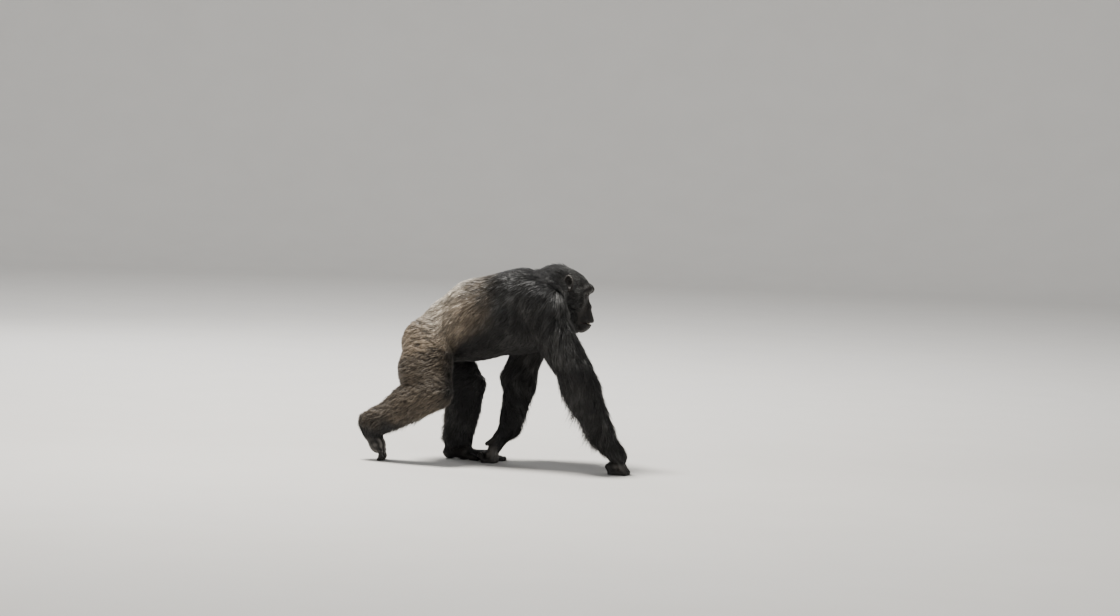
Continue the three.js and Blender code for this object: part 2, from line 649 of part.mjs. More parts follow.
for (const side of ["right", "left"]) {
  const arm = ARMS[side];
  const leg = LEGS[side];
  const elbowCut = jointPlane(arm.shoulder, arm.elbow, arm.wrist);
  const wristCut = jointPlane(arm.elbow, arm.wrist, arm.knuckles);
  const kneeCut = jointPlane(leg.hip, leg.knee, leg.ankle);
  const ankleCut = { point: leg.ankle, normal: leg.ankle.clone().sub(leg.knee).normalize() };
  const armField = limbFields.arm[side];
  const legField = limbFields.leg[side];

  const upperArm = kept(furry.intersect(armBox(arm, -GAP)), [elbowCut]).subtract(earRoom(arm.side));
  addNode(`upper_arm_${side}`, largest(upperArm), 0x242322);
  const foreArm = netAlong(armField, arm.elbow, arm.wrist, 40, 30, 76, CELL.forearm, 32);
  const downArm = towards(arm.elbow, arm.wrist, -0.5 * Math.sign(arm.fringe), -0.2);
  const armHair = dressed(foreArm, armField, downArm, LOCK.arm, [flipped(elbowCut), wristCut], 500);
  addNode(`forearm_${side}`, largest(armHair), 0x1f1e1d);
  const palm = netAlong(armField, arm.wrist, arm.knuckles, 24, 40, 50, CELL.hand, 16);
  const thumb = solid(sweep(arm.thumb, 3, 6, (t) => [13 - 4 * t, 12 - 4 * t]));
  const pad = between(arm.knuckles, arm.fingerJoints[1], 0.5);
  const heelOfHand = orb(pad.x, pad.y, pad.z - 2, side === "right" ? 27 : 21, 34, 19, 10, 6);
  const filled = palm.add(thumb).add(solid(heelOfHand));
  const hand = digits(arm.knuckles, arm.fingerJoints, FINGERS, 4).reduce((m, d) => m.add(d), filled);
  addNode(`hand_${side}`, largest(kept(hand, [flipped(wristCut)]).subtract(floor)), 0x232120);

  addNode(`thigh_${side}`, largest(kept(furry.intersect(thighBox(leg, -GAP)), [kneeCut])), 0x5f5648);
  const shank = netAlong(legField, leg.knee, leg.ankle, 60, 40, 100, CELL.shank, 36);
  const legHair = dressed(shank, legField, towards(leg.knee, leg.ankle, 0, -0.25),
    LOCK.leg, [flipped(kneeCut), ankleCut], 500);
  addNode(`shank_${side}`, largest(legHair), 0x6b6152);
  const sole = netAlong(legField, leg.heel, leg.ball, 36, 44, 84, CELL.foot, 17);
  const bigToe = solid(sweep(leg.bigToe, 3, 6, (t) => [15 - 5 * t, 14 - 4.5 * t]));
  const foot = digits(leg.ball, leg.toeJoints, TOES, 4).reduce((m, d) => m.add(d), sole.add(bigToe));
  addNode(`foot_${side}`, largest(kept(foot, [flipped(ankleCut)]).subtract(floor)), 0x2b2826);
}

// The head: eyes in their lids, ears, nostrils and a mouth a little open over small teeth.
// The almond between the lids, as a short prism that points ahead.
function lidOpening(side) {
  const rim = Array.from({ length: 14 }, (_, i) => {
    const turn = (2 * Math.PI * i) / 14;
    const rise = Math.sin(turn);
    return new THREE.Vector2(11.5 * Math.cos(turn), 6 * Math.sign(rise) * Math.abs(rise) ** 1.3);
  });
  const prism = new THREE.ExtrudeGeometry(new THREE.Shape(rim), { depth: 14, bevelEnabled: false });
  prism.rotateX(Math.PI / 2).rotateZ(Math.PI / 2 + side * 0.2);
  return prism.translate(EYE.x + 6, side * (EYE.y + 1), EYE.z);
}

const mouthLine = Array.from({ length: 9 }, (_, i) => {
  const t = i / 4 - 1;
  const x = MOUTH.corner + (MOUTH.front - MOUTH.corner) * (1 - t * t) ** 0.8;
  return V(x, MOUTH.half * t, MOUTH.height + 4 * t * t);
});
const mouth = sweep(mouthLine, 16, 6, (t) => {
  const middle = Math.sqrt(Math.max(0, 1 - (2 * t - 1) ** 2));
  return [2 + MOUTH.depth * middle, 0.5 + MOUTH.open * middle];
}, UP);

function teeth(drop) {
  return Array.from({ length: 6 }, (_, i) => {
    const t = ((i - 2.5) / 2.5) * 0.45;
    const wide = i === 0 || i === 5 ? 6.4 : 7.4;
    const tooth = new THREE.BoxGeometry(4.6, wide, 11).rotateZ(-t * 1.25);
    return solid(inHead(tooth.translate(MOUTH.corner + (MOUTH.front - 16 - MOUTH.corner) * (1 - t * t),
      (MOUTH.half - 9) * t * 1.1, MOUTH.height + drop)));
  });
}

const headSkin = (grow) =>
  net((p) => wholeBody(p) - grow, V(150, -128, 470), V(372, 128, 760), V(1, 1, 1).multiplyScalar(CELL.head));
const headOnly = (skin) => withoutLimbs(kept(skin, [flipped(CUT.neckTop)]));
const nearEar = (q) => Math.min(...[-1, 1].map((s) => q.distanceTo(V(EAR.x, s * EAR.y, EAR.z))));

let head = headSkin(0);
const sizeOnHead = (p) => {
  const bare = pastPlane(CUT.neckTop, p) < 6 || coat(p) < 3 || nearEar(toHead(p)) < 44;
  return bare ? null : LOCK.head;
};
const clearOfEars = (hair) => {
  const points = hair.getMesh().vertProperties;
  return Array.from({ length: points.length / 3 }, (_, i) => V(...points.slice(i * 3, i * 3 + 3)))
    .every((p) => nearEar(toHead(p)) > 39);
};
head = laidOn(head, locksOn(head, wholeBody, lieOfHead, sizeOnHead, 900).filter(clearOfEars));
head = headOnly(head);
const eyeBall = (side, radius, around) =>
  solid(inHead(orb(EYE.x, side * EYE.y, EYE.z, radius, radius, radius, around, 8)));
for (const side of [-1, 1]) head = head.add(eyeBall(side, EYE_RADIUS + 2.6, 12));
for (const side of [-1, 1]) {
  head = head.subtract(eyeBall(side, EYE_RADIUS + GAP + 0.2, 14))
    .subtract(solid(inHead(lidOpening(side))))
    .subtract(solid(inHead(orb(341, side * 8.5, 586.5, 5, 3.4, 3.2, 8, 4))));
}
head = head.subtract(solid(inHead(mouth)));
for (const tooth of [...teeth(6.5), ...teeth(-7)]) head = head.add(tooth);
addNode("head", largest(head), 0x332f2c);

const aroundHead = headOnly(headSkin(GAP));
for (const side of [-1, 1]) {
  const name = side < 0 ? "right" : "left";
  addNode(`eye_${name}`, eyeBall(side, EYE_RADIUS, 14), 0x3a2415);
  const place = (geometry) => asEar(geometry, side);
  const shell = place(orb(0, 0, 0, EAR.wide, EAR.thick, EAR.tall, 12, 8));
  const cup = place(orb(2, side * EAR.thick * 0.8, 1, EAR.wide - 5, EAR.thick * 0.95, EAR.tall - 6, 10, 6));
  const foldPath = [V(-9, side * 2, -14), V(-10, side * 2.4, 2), V(-4, side * 2, 15)];
  const fold = place(sweep(foldPath, 4, 5, () => [2.4, 2.4]));
  const tragus = place(orb(14, side * 4, -6, 5, 4, 6, 6, 4));
  addNode(`ear_${name}`, largest(shell.subtract(cup).add(fold).add(tragus).subtract(aroundHead)), 0x4a3d34);
}

// The origin is the middle of the footprint, on the floor.
const middle = new THREE.Box3().setFromObject(group).getCenter(V(0, 0, 0));
for (const mesh of group.children) mesh.position.set(-middle.x, -middle.y, -FLOOR);

export default group;
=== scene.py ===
"""Skin, coat, face, hands and feet of a life-size chimpanzee walking on its knuckles."""
import math

import bpy
import numpy as np
from mathutils import Matrix, Vector
from mathutils.kdtree import KDTree


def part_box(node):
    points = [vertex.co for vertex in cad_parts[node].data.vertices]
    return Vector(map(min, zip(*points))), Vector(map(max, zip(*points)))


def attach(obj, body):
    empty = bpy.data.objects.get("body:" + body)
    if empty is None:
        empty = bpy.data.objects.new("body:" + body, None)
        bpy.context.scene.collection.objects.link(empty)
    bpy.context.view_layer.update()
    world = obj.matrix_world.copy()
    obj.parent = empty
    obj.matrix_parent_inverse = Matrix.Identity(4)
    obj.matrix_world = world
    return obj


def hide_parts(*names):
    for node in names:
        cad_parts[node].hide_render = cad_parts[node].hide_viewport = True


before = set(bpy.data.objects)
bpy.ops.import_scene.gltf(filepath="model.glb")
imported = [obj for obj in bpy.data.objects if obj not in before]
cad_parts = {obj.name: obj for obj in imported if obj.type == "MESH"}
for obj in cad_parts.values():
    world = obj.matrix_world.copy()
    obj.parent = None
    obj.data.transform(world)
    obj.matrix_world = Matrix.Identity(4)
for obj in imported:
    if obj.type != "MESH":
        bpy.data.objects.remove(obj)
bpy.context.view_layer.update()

# Shapes are measured in millimetres in the animal's own frame: heading +X, its left +Y, up +Z.
FLOOR = -8.0
EYE = np.array([317.0, 29.0, 639.0])  # the left one
EYE_RADIUS = 11.5
HEAD_TURN = math.radians(8)
HEAD_PIVOT = np.array([245.0, 0.0, 0.0])
EAR = dict(x=262, y=75, z=679, tall=32, wide=23, flare=37)
MOUTH = dict(half=37, corner=308, front=351, height=530, depth=13, gape=3.9)
FINGERS = dict(count=4, pitch=19, radius=11, bow=4)
TOES = dict(count=4, pitch=16.5, radius=9.4, bow=4)
DIGIT_TAPER = (1.1, 1.02, 0.94, 0.84)  # a digit's radius at each joint, against its own
COAT_DEPTH = dict(body=10, crown=15, brow=3, limb=1.5, belly=-5)
SIDES = {"right": -1, "left": 1}


def V(x, y, z):
    return np.array([x, y, z], float)


ARMS = {
    "right": dict(shoulder=V(180, -122, 590), elbow=V(332, -176, 358), wrist=V(438, -126, 132),
                  knuckles=V(485, -108, 52),
                  joints=[V(514, -106, -1.5), V(464, -105, -1.5), V(452, -104, 22)],
                  thumb=[V(458, -102, 104), V(461, -82, 76), V(461, -76, 50)], fringe=22),
    "left": dict(shoulder=V(144, 122, 590), elbow=V(56, 150, 336), wrist=V(32, 72, 122),
                 knuckles=V(-13, 54, 51),
                 joints=[V(-17, 53, -1.5), V(-48, 52, -1.5), V(-63, 52, 20)],
                 thumb=[V(12, 52, 102), V(-14, 33, 80), V(-38, 27, 64)], fringe=-9),
}
LEGS = {
    "right": dict(hip=V(-262, -66, 440), knee=V(-202, -142, 262), ankle=V(-434, -97, 142),
                  heel=V(-471, -97, 134), pad=V(-429, -90, 52),
                  joints=[V(-412, -90, 30), V(-408, -89, 8), V(-414, -89, -2)],
                  big_toe=[V(-446, -68, 78), V(-426, -54, 38), V(-414, -50, 1)], calf_pitch=24),
    "left": dict(hip=V(-258, 66, 440), knee=V(-140, 118, 276), ankle=V(-172, 112, 60),
                 heel=V(-200, 112, 15), pad=V(-64, 126, 9.5),
                 joints=[V(-34, 128, 5), V(-16, 129, -1), V(0, 130, -2)],
                 big_toe=[V(-128, 96, 10), V(-106, 82, 3), V(-88, 74, 0)], calf_pitch=86),
}


# Small helpers on rows of points

def unit(v):
    return v / np.maximum(np.linalg.norm(v, axis=-1, keepdims=True), 1e-9)


def between(a, b, t):
    return a + t * (b - a)


def ramp(value, low, high):
    t = np.clip((value - low) / (high - low), 0, 1)
    return t * t * (3 - 2 * t)


def dot(a, b):
    return (a * b).sum(-1)


def turned(p, angle):
    """Points turned about the upright axis through the neck."""
    c, s = math.cos(angle), math.sin(angle)
    x, y, z = np.moveaxis(p - HEAD_PIVOT, -1, 0)
    return np.stack([c * x - s * y, s * x + c * y, z], -1) + HEAD_PIVOT


def to_head(p):
    return turned(p, -HEAD_TURN)


def from_head(p):
    return turned(p, HEAD_TURN)


def past_neck(p):
    """How far points lie past the plane at the top of the neck, toward the face."""
    return (p - V(222, 0, 622)) @ unit(V(0.85, 0, 0.526))


def eye_at(s):
    """The middle of the right eye for -1 and of the left eye for 1, before the head is turned."""
    return EYE * V(1, s, 1)


# Shapes of the body: each gives about the distance of points from its surface

def cone(a, b, ra, rb, flat=None, by=1.0):
    along = b - a

    def distance(p):
        q = p - a
        t = np.clip(q @ along / (along @ along), 0, 1)
        q = q - t[:, None] * along
        if flat is not None:
            q = q + (by - 1) * (q @ flat)[:, None] * flat
        return np.sqrt(dot(q, q)) - (ra + t * (rb - ra))
    return distance


def ball(centre, rx, ry, rz, pitch=0):
    c, s = math.cos(math.radians(pitch)), math.sin(math.radians(pitch))

    def distance(p):
        x, y, z = (p - centre).T
        a, b, y = (c * x + s * z) / rx, (c * z - s * x) / rz, y / ry
        near = np.sqrt(a * a + b * b + y * y)
        steep = np.sqrt((a / rx) ** 2 + (b / rz) ** 2 + (y / ry) ** 2)
        return near * (near - 1) / np.maximum(steep, 1e-9)
    return distance


def melt(a, b, width):
    h = np.maximum(width - np.abs(a - b), 0) / width
    return np.minimum(a, b) - h * h * width / 4


def melted(rows):
    def distance(p):
        d = np.full(len(p), 1e3)
        for shape, width in rows:
            d = melt(d, shape(p), width)
        return d
    return distance


def both(make):
    return [row for s in (-1, 1) for row in make(s)]


trunk = melted([
    (cone(V(-262, 0, 432), V(-80, 0, 527), 79, 138), 10),
    (cone(V(-80, 0, 527), V(92, 0, 563), 138, 143), 20),
    (ball(V(-276, 0, 408), 80, 108, 60), 40),
    (ball(V(-205, 0, 510), 80, 92, 70, 38), 34),
    (ball(V(-90, 0, 500), 150, 132, 112, 14), 40),
    (ball(V(60, 0, 560), 165, 146, 132), 40),
    (cone(V(120, 0, 596), V(205, 0, 628), 112, 84), 40),
    (ball(V(190, 0, 560), 84, 96, 92), 50),
    *both(lambda s: [(cone(V(60, s * 74, 640), V(165, s * 88, 628), 56, 58), 45)]),
])

skull = melted([
    (ball(V(236, 0, 655), 84, 66, 70), 20),
    (ball(V(205, 0, 672), 62, 60, 54), 30),
    (ball(V(293, 0, 676), 52, 50, 27, -40), 24),
    *both(lambda s: [
        (cone(V(337, 0, 657), V(330, s * 34, 659), 12, 12.5), 12),
        (cone(V(330, s * 34, 659), V(309, s * 56, 650), 12.5, 10), 12),
        (cone(V(303, s * 55, 640), V(296, s * 54, 612), 11, 17), 14),
        (ball(V(286, s * 42, 604), 34, 24, 34), 20),
        (ball(V(262, s * 46, 640), 44, 24, 42), 24),
        (cone(V(306, 0, 522), V(246, s * 46, 566), 21, 30), 22),
        (ball(eye_at(s), 14, 15, 14), 7),
    ]),
    (ball(V(300, 0, 612), 30, 40, 52), 18),
    (ball(V(298, 0, 568), 48, 45, 42, -12), 20),
    (ball(V(321, 0, 550), 33, 39, 23, -20), 12),
    (ball(V(313, 0, 518), 29, 32, 18, 12), 8),
    (ball(V(328, 0, 592), 15, 20, 11), 9),
    (cone(V(322, 0, 622), V(330, 0, 594), 8, 10), 8),
])


def back_of(limb):
    return unit(V(limb[2], 0, -limb[0]))


def arm_shape(side, shoulder, elbow, wrist, knuckles, **_):
    s = SIDES[side]
    upper, fore = elbow - shoulder, wrist - elbow
    palm = unit(np.cross(knuckles - wrist, V(0, 1, 0)))
    return melted([
        (ball(shoulder + V(16, s * 4, -8), 74, 58, 78), 10),
        (cone(shoulder, elbow, 64, 50), 24),
        (cone(between(shoulder, elbow, 0.35) + 16 * back_of(upper),
              between(shoulder, elbow, 0.75) + 10 * back_of(upper), 50, 44), 24),
        (cone(elbow, wrist, 47, 29), 18),
        (ball(between(elbow, wrist, 0.2) + 4 * back_of(fore), 47, 43, 62, 65), 20),
        (cone(between(elbow, wrist, 0.92), wrist, 27, 27, palm, 1.25), 12),
        (cone(wrist, knuckles, 27, 33, palm, 1.4), 14),
    ])


def leg_shape(side, hip, knee, ankle, heel, pad, calf_pitch, **_):
    s, raised = SIDES[side], heel[2] > 60
    sole = unit(np.cross(pad - heel, V(0, 1, 0)))
    calf = between(knee, ankle, 0.4) + (12 if raised else 4) * back_of(unit(ankle - knee))
    rows = [
        (cone(hip, knee, 80, 55), 10),
        (ball(between(hip, knee, 0.42) + V(-8, s * 4, 0), 88, 68, 100), 26),
        (ball(between(hip, knee, 0.62) + V(-52 if raised else -30, s * 2, 0), 66, 52, 72), 30),
        (cone(knee, ankle, 57 if raised else 56, 39 if raised else 47), 20),
        (ball(calf, 82, 52, 56 if raised else 50, calf_pitch), 26),
    ]
    if raised:
        rows.append((cone(knee + V(-30, 0, -14), ankle + V(16, 0, -6), 50, 38), 20))
    return melted(rows + [
        (ball(heel, 24, 24, 24), 18),
        (cone(ankle, between(heel, pad, 0.45), 35, 33 if raised else 30), 18),
        (cone(heel, pad, 24, 35, sole, 1.15 if raised else 1.7), 16),
    ])


arms = {side: arm_shape(side, **ARMS[side]) for side in SIDES}
legs = {side: leg_shape(side, **LEGS[side]) for side in SIDES}


def body(p):
    """The flesh under the coat: each limb melts into the trunk and the head, but not into another limb."""
    core = melt(trunk(p), skull(to_head(p)), 26)
    limbs = [melt(core, arms[s](p), 34) for s in SIDES] + [melt(core, legs[s](p), 30) for s in SIDES]
    return np.minimum.reduce(limbs)


# Longer hair on one side of a forearm or a shank: behind it, or in front where the length is negative.
FRINGES = [(arm["elbow"], arm["wrist"], arm["fringe"]) for arm in ARMS.values()]
for side, fringe in (("left", 7), ("right", -8)):
    FRINGES.append((LEGS[side]["knee"], LEGS[side]["ankle"], fringe))
# Places along x, and the height below which the fingers or toes there are bare.
BARE_BELOW = ((-395, -370, -150, -60, 100, 300), (70, 20, 20, 44, 44, 14))


def coat_depth(p):
    """How far the coat reaches over the flesh: not on the face, hands and feet, most behind the forearms."""
    q = to_head(p)
    face = ramp(q[:, 0], 284, 303) * (1 - ramp(q[:, 2], 660, 674)) * (1 - ramp(np.abs(q[:, 1]), 52, 64))
    fingers_end = np.interp(p[:, 0], *BARE_BELOW)
    bare = 1 - ramp(p[:, 2], fingers_end, fingers_end + 56)
    nearer_ear = V(EAR["x"], 0, EAR["z"]) + np.sign(q[:, 1:2]) * V(0, EAR["y"], 0)
    ear = 0.3 + 0.7 * ramp(np.linalg.norm(q - nearer_ear, axis=1), 26, 50)
    depth = COAT_DEPTH["body"] + (COAT_DEPTH["crown"] - COAT_DEPTH["body"]) * ramp(q[:, 0], 150, 200)
    depth += (COAT_DEPTH["brow"] - depth) * ramp(q[:, 0], 222, 296) * ramp(p[:, 2], 560, 620)
    belly = COAT_DEPTH["belly"] * ramp(p[:, 2], 450, 400) * ramp(p[:, 2], 350, 380)
    depth += belly * ramp(np.abs(p[:, 1]), 110, 70)
    for start, end, fringe in FRINGES:
        along = end - start
        offset = p - start
        t = offset @ along / (along @ along)
        offset = offset - t[:, None] * along
        near = 1 - ramp(np.linalg.norm(offset, axis=1), 90, 120)
        rearward = unit(offset) @ back_of(unit(along)) * np.sign(fringe)
        jagged = 0.95 + 0.3 * np.sin(t * 19 + p[:, 1] / 17) * np.sin(t * 43 - p[:, 1] / 11)
        around = abs(fringe) * jagged * ramp(rearward, 0.1, 0.95) * ramp(t, -0.05, 0.5)
        depth += near * (around + COAT_DEPTH["limb"] * ramp(t, -0.1, 0.3)) * (1 - ramp(t, 0.95, 1.35))
    return depth * (1 - face) * (1 - bare) * ear


# Folds and openings of the bare skin

def mouth_line(t):
    """The line between the lips, from corner to corner as t goes from -1 to 1."""
    x = MOUTH["corner"] + (MOUTH["front"] - MOUTH["corner"]) * np.maximum(1 - t * t, 0) ** 0.8
    return x, MOUTH["half"] * t, MOUTH["height"] + 4 * t * t


def mouth_opening(q):
    """The gap between the lips, as a shape."""
    t = np.clip(q[:, 1] / MOUTH["half"], -1, 1)
    x, _, z = mouth_line(t)
    middle = np.sqrt(np.maximum(1 - t * t, 0))
    deep, high = 3 + (MOUTH["depth"] + 3) * middle ** 2, 0.4 + MOUTH["gape"] * middle ** 3
    return (np.hypot((q[:, 0] - x + 2) / deep, (q[:, 2] - z) / high) - 1) * high


def groove(distance, width):
    return np.exp(-(distance / width) ** 2)


def face(p):
    """The head with lids, nostrils, lips, wrinkles and the open mouth."""
    q = to_head(p)
    d = body(p)
    x, y, z = q.T
    front = ramp(x, 285, 305)
    for s in SIDES.values():
        d = melt(d, ball(V(332, s * 14.5, 588.5), 9, 9, 7.5)(q), 5)
        d = melt(d, ball(eye_at(s), 14.2, 14.6, 14.2)(q), 5)
    t = np.clip(y / MOUTH["half"], -1, 1)
    middle = np.sqrt(np.maximum(1 - t * t, 0))
    over = z - mouth_line(t)[2]
    muzzle = ramp(x, 300, 318) * ramp(45 - np.abs(y), 0, 10)
    d -= muzzle * (1.6 * groove(over - 6, 4.5) + 1.5 * groove(over + 6.5, 4.5)) * middle
    wrinkle = np.sin(y * 1.05 + 1.6 * np.sin(z / 5.0)) * np.sin(y * 0.31 + 1)
    d += 0.65 * wrinkle * muzzle * ramp(24 - np.abs(over), 0, 14)
    furrow = np.sin(z * 0.75 + 2.5 * np.sin(y / 9.0 + 0.6) + 1.3 * np.sin(z / 7.0 + y / 4.0))
    d += 0.28 * furrow * front * ramp(z, 582, 600) * (1 - ramp(z, 622, 640))
    fold = np.abs(np.hypot((z - 560) / 1.1, np.abs(y) - 2) - 37)
    d += 1.3 * groove(fold, 2.2) * front * ramp(z, 545, 560) * (1 - ramp(z, 588, 600))
    d += 0.9 * groove(np.abs(y), 1.6) * front * ramp(z, 542, 552) * (1 - ramp(z, 575, 583))
    for s in SIDES.values():
        out = q - eye_at(s)
        r = np.hypot(out[:, 1], out[:, 2])
        ahead = ramp(out[:, 0], -4, 4)
        upper = ramp(out[:, 2], -3, 4)
        d += ahead * upper * 1.0 * groove(r - 15.5, 1.3)
        uneven = 0.5 + 0.5 * np.sin(out[:, 1] * 0.21 + 1.1)
        d += ahead * (1 - upper) * (0.8 * groove(r - 15.5, 1.3) + 0.5 * uneven * groove(r - 20, 1.3))
        across = (out[:, 1] * math.cos(0.2) - s * out[:, 0] * math.sin(0.2)) / 11.2
        lids = np.abs(out[:, 2] - 0.6) - 5.6 * np.maximum(1 - across ** 2, 0) ** 0.8
        d = np.maximum(d, -np.maximum(lids, 2 - out[:, 0]))
        d = np.maximum(d, EYE_RADIUS + 0.3 - np.linalg.norm(out, axis=1))
        d = np.maximum(d, -melt(ball(V(341, s * 8, 587), 7, 4.4, 3.3)(q),
                                ball(V(338, s * 13.5, 585), 7, 3.8, 2.7)(q), 3))
    return np.maximum(d, -mouth_opening(q))


def digits_of(sizes):
    """Each digit's step from the middle of its row, how far it reaches ahead, and its radius."""
    half = (sizes["count"] - 1) / 2
    for i in range(sizes["count"]):
        step = i - half
        yield step, sizes["bow"] * (1 - (step / half) ** 2), sizes["radius"] * (1 - 0.03 * abs(step))


def digit_rows(base, joints, sizes):
    rows = []
    for step, reach, radius in digits_of(sizes):
        path = [base + V(0, step * sizes["pitch"] * 0.92, 0)]
        path += [joint + V(reach, step * sizes["pitch"], 0) for joint in joints]
        stops = list(zip(path, [radius * taper for taper in DIGIT_TAPER]))
        bones = [(cone(a, b, ra * 0.93, rb * 0.93), 4) for (a, ra), (b, rb) in zip(stops, stops[1:])]
        ends = [(ball(j, r * 1.04, r * 1.04, r * 1.04), 5) for j, r in stops]
        rows.append((melted(bones + ends), 2.5))
    return rows


def tube_rows(path, r0, r1):
    radii = np.linspace(r0, r1, len(path))
    return [(cone(a, b, ra, rb), 6) for a, b, ra, rb in zip(path, path[1:], radii, radii[1:])]


def paw(limb_shape, digits, side_digit, pad):
    """A hand or foot: the limb's end with its digits and pad, creased at the joints and flat on the floor."""
    digits, side_digit = melted(digits), melted(side_digit)

    def distance(p):
        d = melt(melt(melt(limb_shape(p), pad(p), 8), digits(p), 6), side_digit(p), 8)
        crease = np.sin((p[:, 0] + 0.6 * p[:, 2]) * 0.75 + 2.0 * np.sin(p[:, 1] / 6.0))
        d = d + 0.3 * crease + 0.25 * np.sin(p[:, 1] * 1.3 + np.sin(p[:, 0] / 4.0)) * np.sin(p[:, 2] / 3.1)
        return np.maximum(d, FLOOR + 0.3 - p[:, 2])
    return distance


def hand(side, knuckles, joints, thumb, **_):
    long = 30 if side == "right" else 22
    pad = ball(between(knuckles, joints[1], 0.5) + V(-1, 0, -3), long, 34, 21)
    return paw(arms[side], digit_rows(knuckles, joints, FINGERS), tube_rows(thumb, 12.5, 8.5), pad)


def foot(side, pad, joints, big_toe, **_):
    ball_of_foot = ball(pad + V(-4, 0, 2), 26, 36, 15)
    return paw(legs[side], digit_rows(pad, joints, TOES), tube_rows(big_toe, 14.5, 9.8), ball_of_foot)


def beyond(point, normal, centre, reach):
    """The part of space past a plane and near a centre, as a shape."""
    normal = unit(normal)
    return lambda p: np.maximum(-((p - point) @ normal), np.linalg.norm(p - centre, axis=1) - reach)


def head_room(p):
    """The part of space that holds the head, past the plane at the top of the neck."""
    return np.maximum(-past_neck(p), np.abs(to_head(p)[:, 1]) - 88)


PAWS = {}  # each hand's and foot's shape, the room that holds it, and points at its ends
for side in SIDES:
    arm, leg = ARMS[side], LEGS[side]
    room = beyond(arm["wrist"], arm["knuckles"] - arm["elbow"], arm["knuckles"], 130)
    ends = [arm["wrist"], arm["knuckles"], *arm["joints"], *arm["thumb"]]
    PAWS[f"hand_{side}"] = (hand(side, **arm), room, ends)
    room = beyond(leg["ankle"], leg["ankle"] - leg["knee"], between(leg["heel"], leg["pad"], 0.5), 150)
    ends = [leg["ankle"], leg["heel"], leg["pad"], *leg["joints"], *leg["big_toe"]]
    PAWS[f"foot_{side}"] = (foot(side, **leg), room, ends)
OVERLAP = 4.0  # how far the shells of skin run into each other under the coat


def body_without_ends(p):
    d = np.maximum(body(p), -(head_room(p) + OVERLAP))
    for _, room, _ in PAWS.values():
        d = np.maximum(d, -(room(p) + OVERLAP))
    return d


# Skins and meshes

def steps(*stops):
    """Grid lines from stop to stop, given as place, spacing, place, spacing, ... place."""
    lines = []
    for start, gap, end in zip(stops[::2], stops[1::2], stops[2::2]):
        lines += list(np.arange(start, end - gap * 0.3, gap))
    return np.array(lines + [stops[-1]], float)


def grid_points(axes):
    return np.stack(np.meshgrid(*axes, indexing="ij"), -1).reshape(-1, 3)


def values_on(field, axes, stride=4):
    """The field on a grid, worked out fully only near the surface."""
    coarse_axes = [np.append(a[::stride], a[-1]) for a in axes]
    coarse = field(grid_points(coarse_axes)).reshape([len(a) for a in coarse_axes])
    nearest = [np.abs(a[:, None] - c[None, :]).argmin(1) for a, c in zip(axes, coarse_axes)]
    values = coarse[np.ix_(*nearest)].copy()
    widest = max(np.diff(a).max() for a in axes)
    close = np.abs(values) < 6.5 * widest
    i, j, k = np.nonzero(close)
    points = np.stack([axes[0][i], axes[1][j], axes[2][k]], -1)
    batches = np.array_split(points, max(1, len(points) // 200000))
    values[i, j, k] = np.concatenate([field(batch) for batch in batches])
    return values


def slope(field, p, step=0.6):
    here = field(p)
    out = np.stack([field(p + step * np.eye(3)[axis]) - here for axis in range(3)], -1)
    return here, unit(out)


def crossings(values, axes, cells):
    """The middle of the places where the surface crosses the edges of each cell."""
    total, hits = np.zeros((len(cells), 3)), np.zeros(len(cells))
    for axis in range(3):
        for other in range(4):
            start = cells.copy()
            start[:, (axis + 1) % 3] += other & 1
            start[:, (axis + 2) % 3] += other >> 1
            end = start.copy()
            end[:, axis] += 1
            a, b = values[tuple(start.T)], values[tuple(end.T)]
            crossed = (a < 0) != (b < 0)
            t = np.where(crossed, a / np.where(a == b, 1, a - b), 0)
            place = np.stack([axes[m][start[:, m]] for m in range(3)], -1)
            place[:, axis] += t * (axes[axis][end[:, axis]] - axes[axis][start[:, axis]])
            total += place * crossed[:, None]
            hits += crossed
    return total / hits[:, None]


def quads_across(inside, number):
    """A quad over each edge of the grid that the surface crosses, facing out."""
    n = number.shape
    quads = []
    for axis in range(3):
        after, last = (axis + 1) % 3, (axis + 2) % 3
        low = [slice(1, n[0]), slice(1, n[1]), slice(1, n[2])]
        low[axis] = slice(0, n[axis])
        high = list(low)
        high[axis] = slice(1, n[axis] + 1)
        a, b = inside[tuple(low)], inside[tuple(high)]
        found = np.stack(np.nonzero(a != b), -1)
        starts_inside = a[tuple(found.T)]
        found[:, [after, last]] += 1
        quad = []
        for back in ((0, 0), (1, 0), (1, 1), (0, 1)):
            at = found.copy()
            at[:, [after, last]] -= back
            quad.append(number[tuple(at.T)])
        quad = np.stack(quad, -1)
        quads.append(np.where(starts_inside[:, None], quad, quad[:, ::-1]))
    return np.concatenate(quads)


def skin_over(field, axes, values=None, settle=2):
    """A closed skin where the field is zero: one corner in each cell that the surface crosses."""
    values = values_on(field, axes) if values is None else values.copy()
    for axis in range(3):
        edge = [slice(None)] * 3
        for end in (0, -1):
            edge[axis] = end
            values[tuple(edge)] = np.maximum(values[tuple(edge)], 1.0)
    inside = values < 0
    n = np.array(values.shape) - 1
    count = sum(inside[i:i + n[0], j:j + n[1], k:k + n[2]].astype(np.int8) for i, j, k in np.ndindex(2, 2, 2))
    cells = np.stack(np.nonzero((count > 0) & (count < 8)), -1)
    corners = crossings(values, axes, cells)
    for _ in range(settle):
        d, normal = slope(field, corners)
        corners = corners - np.clip(d, -1.2, 1.2)[:, None] * normal
    number = np.full(tuple(n), -1, np.int64)
    number[tuple(cells.T)] = np.arange(len(cells))
    return corners, quads_across(inside, number)


low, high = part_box("eye_right")
# The way from the animal's frame to the part's.
SHIFT = (np.array(low) + np.array(high)) * 500 - from_head(eye_at(-1))


def to_scene(p):
    return (np.asarray(p) + SHIFT) / 1000


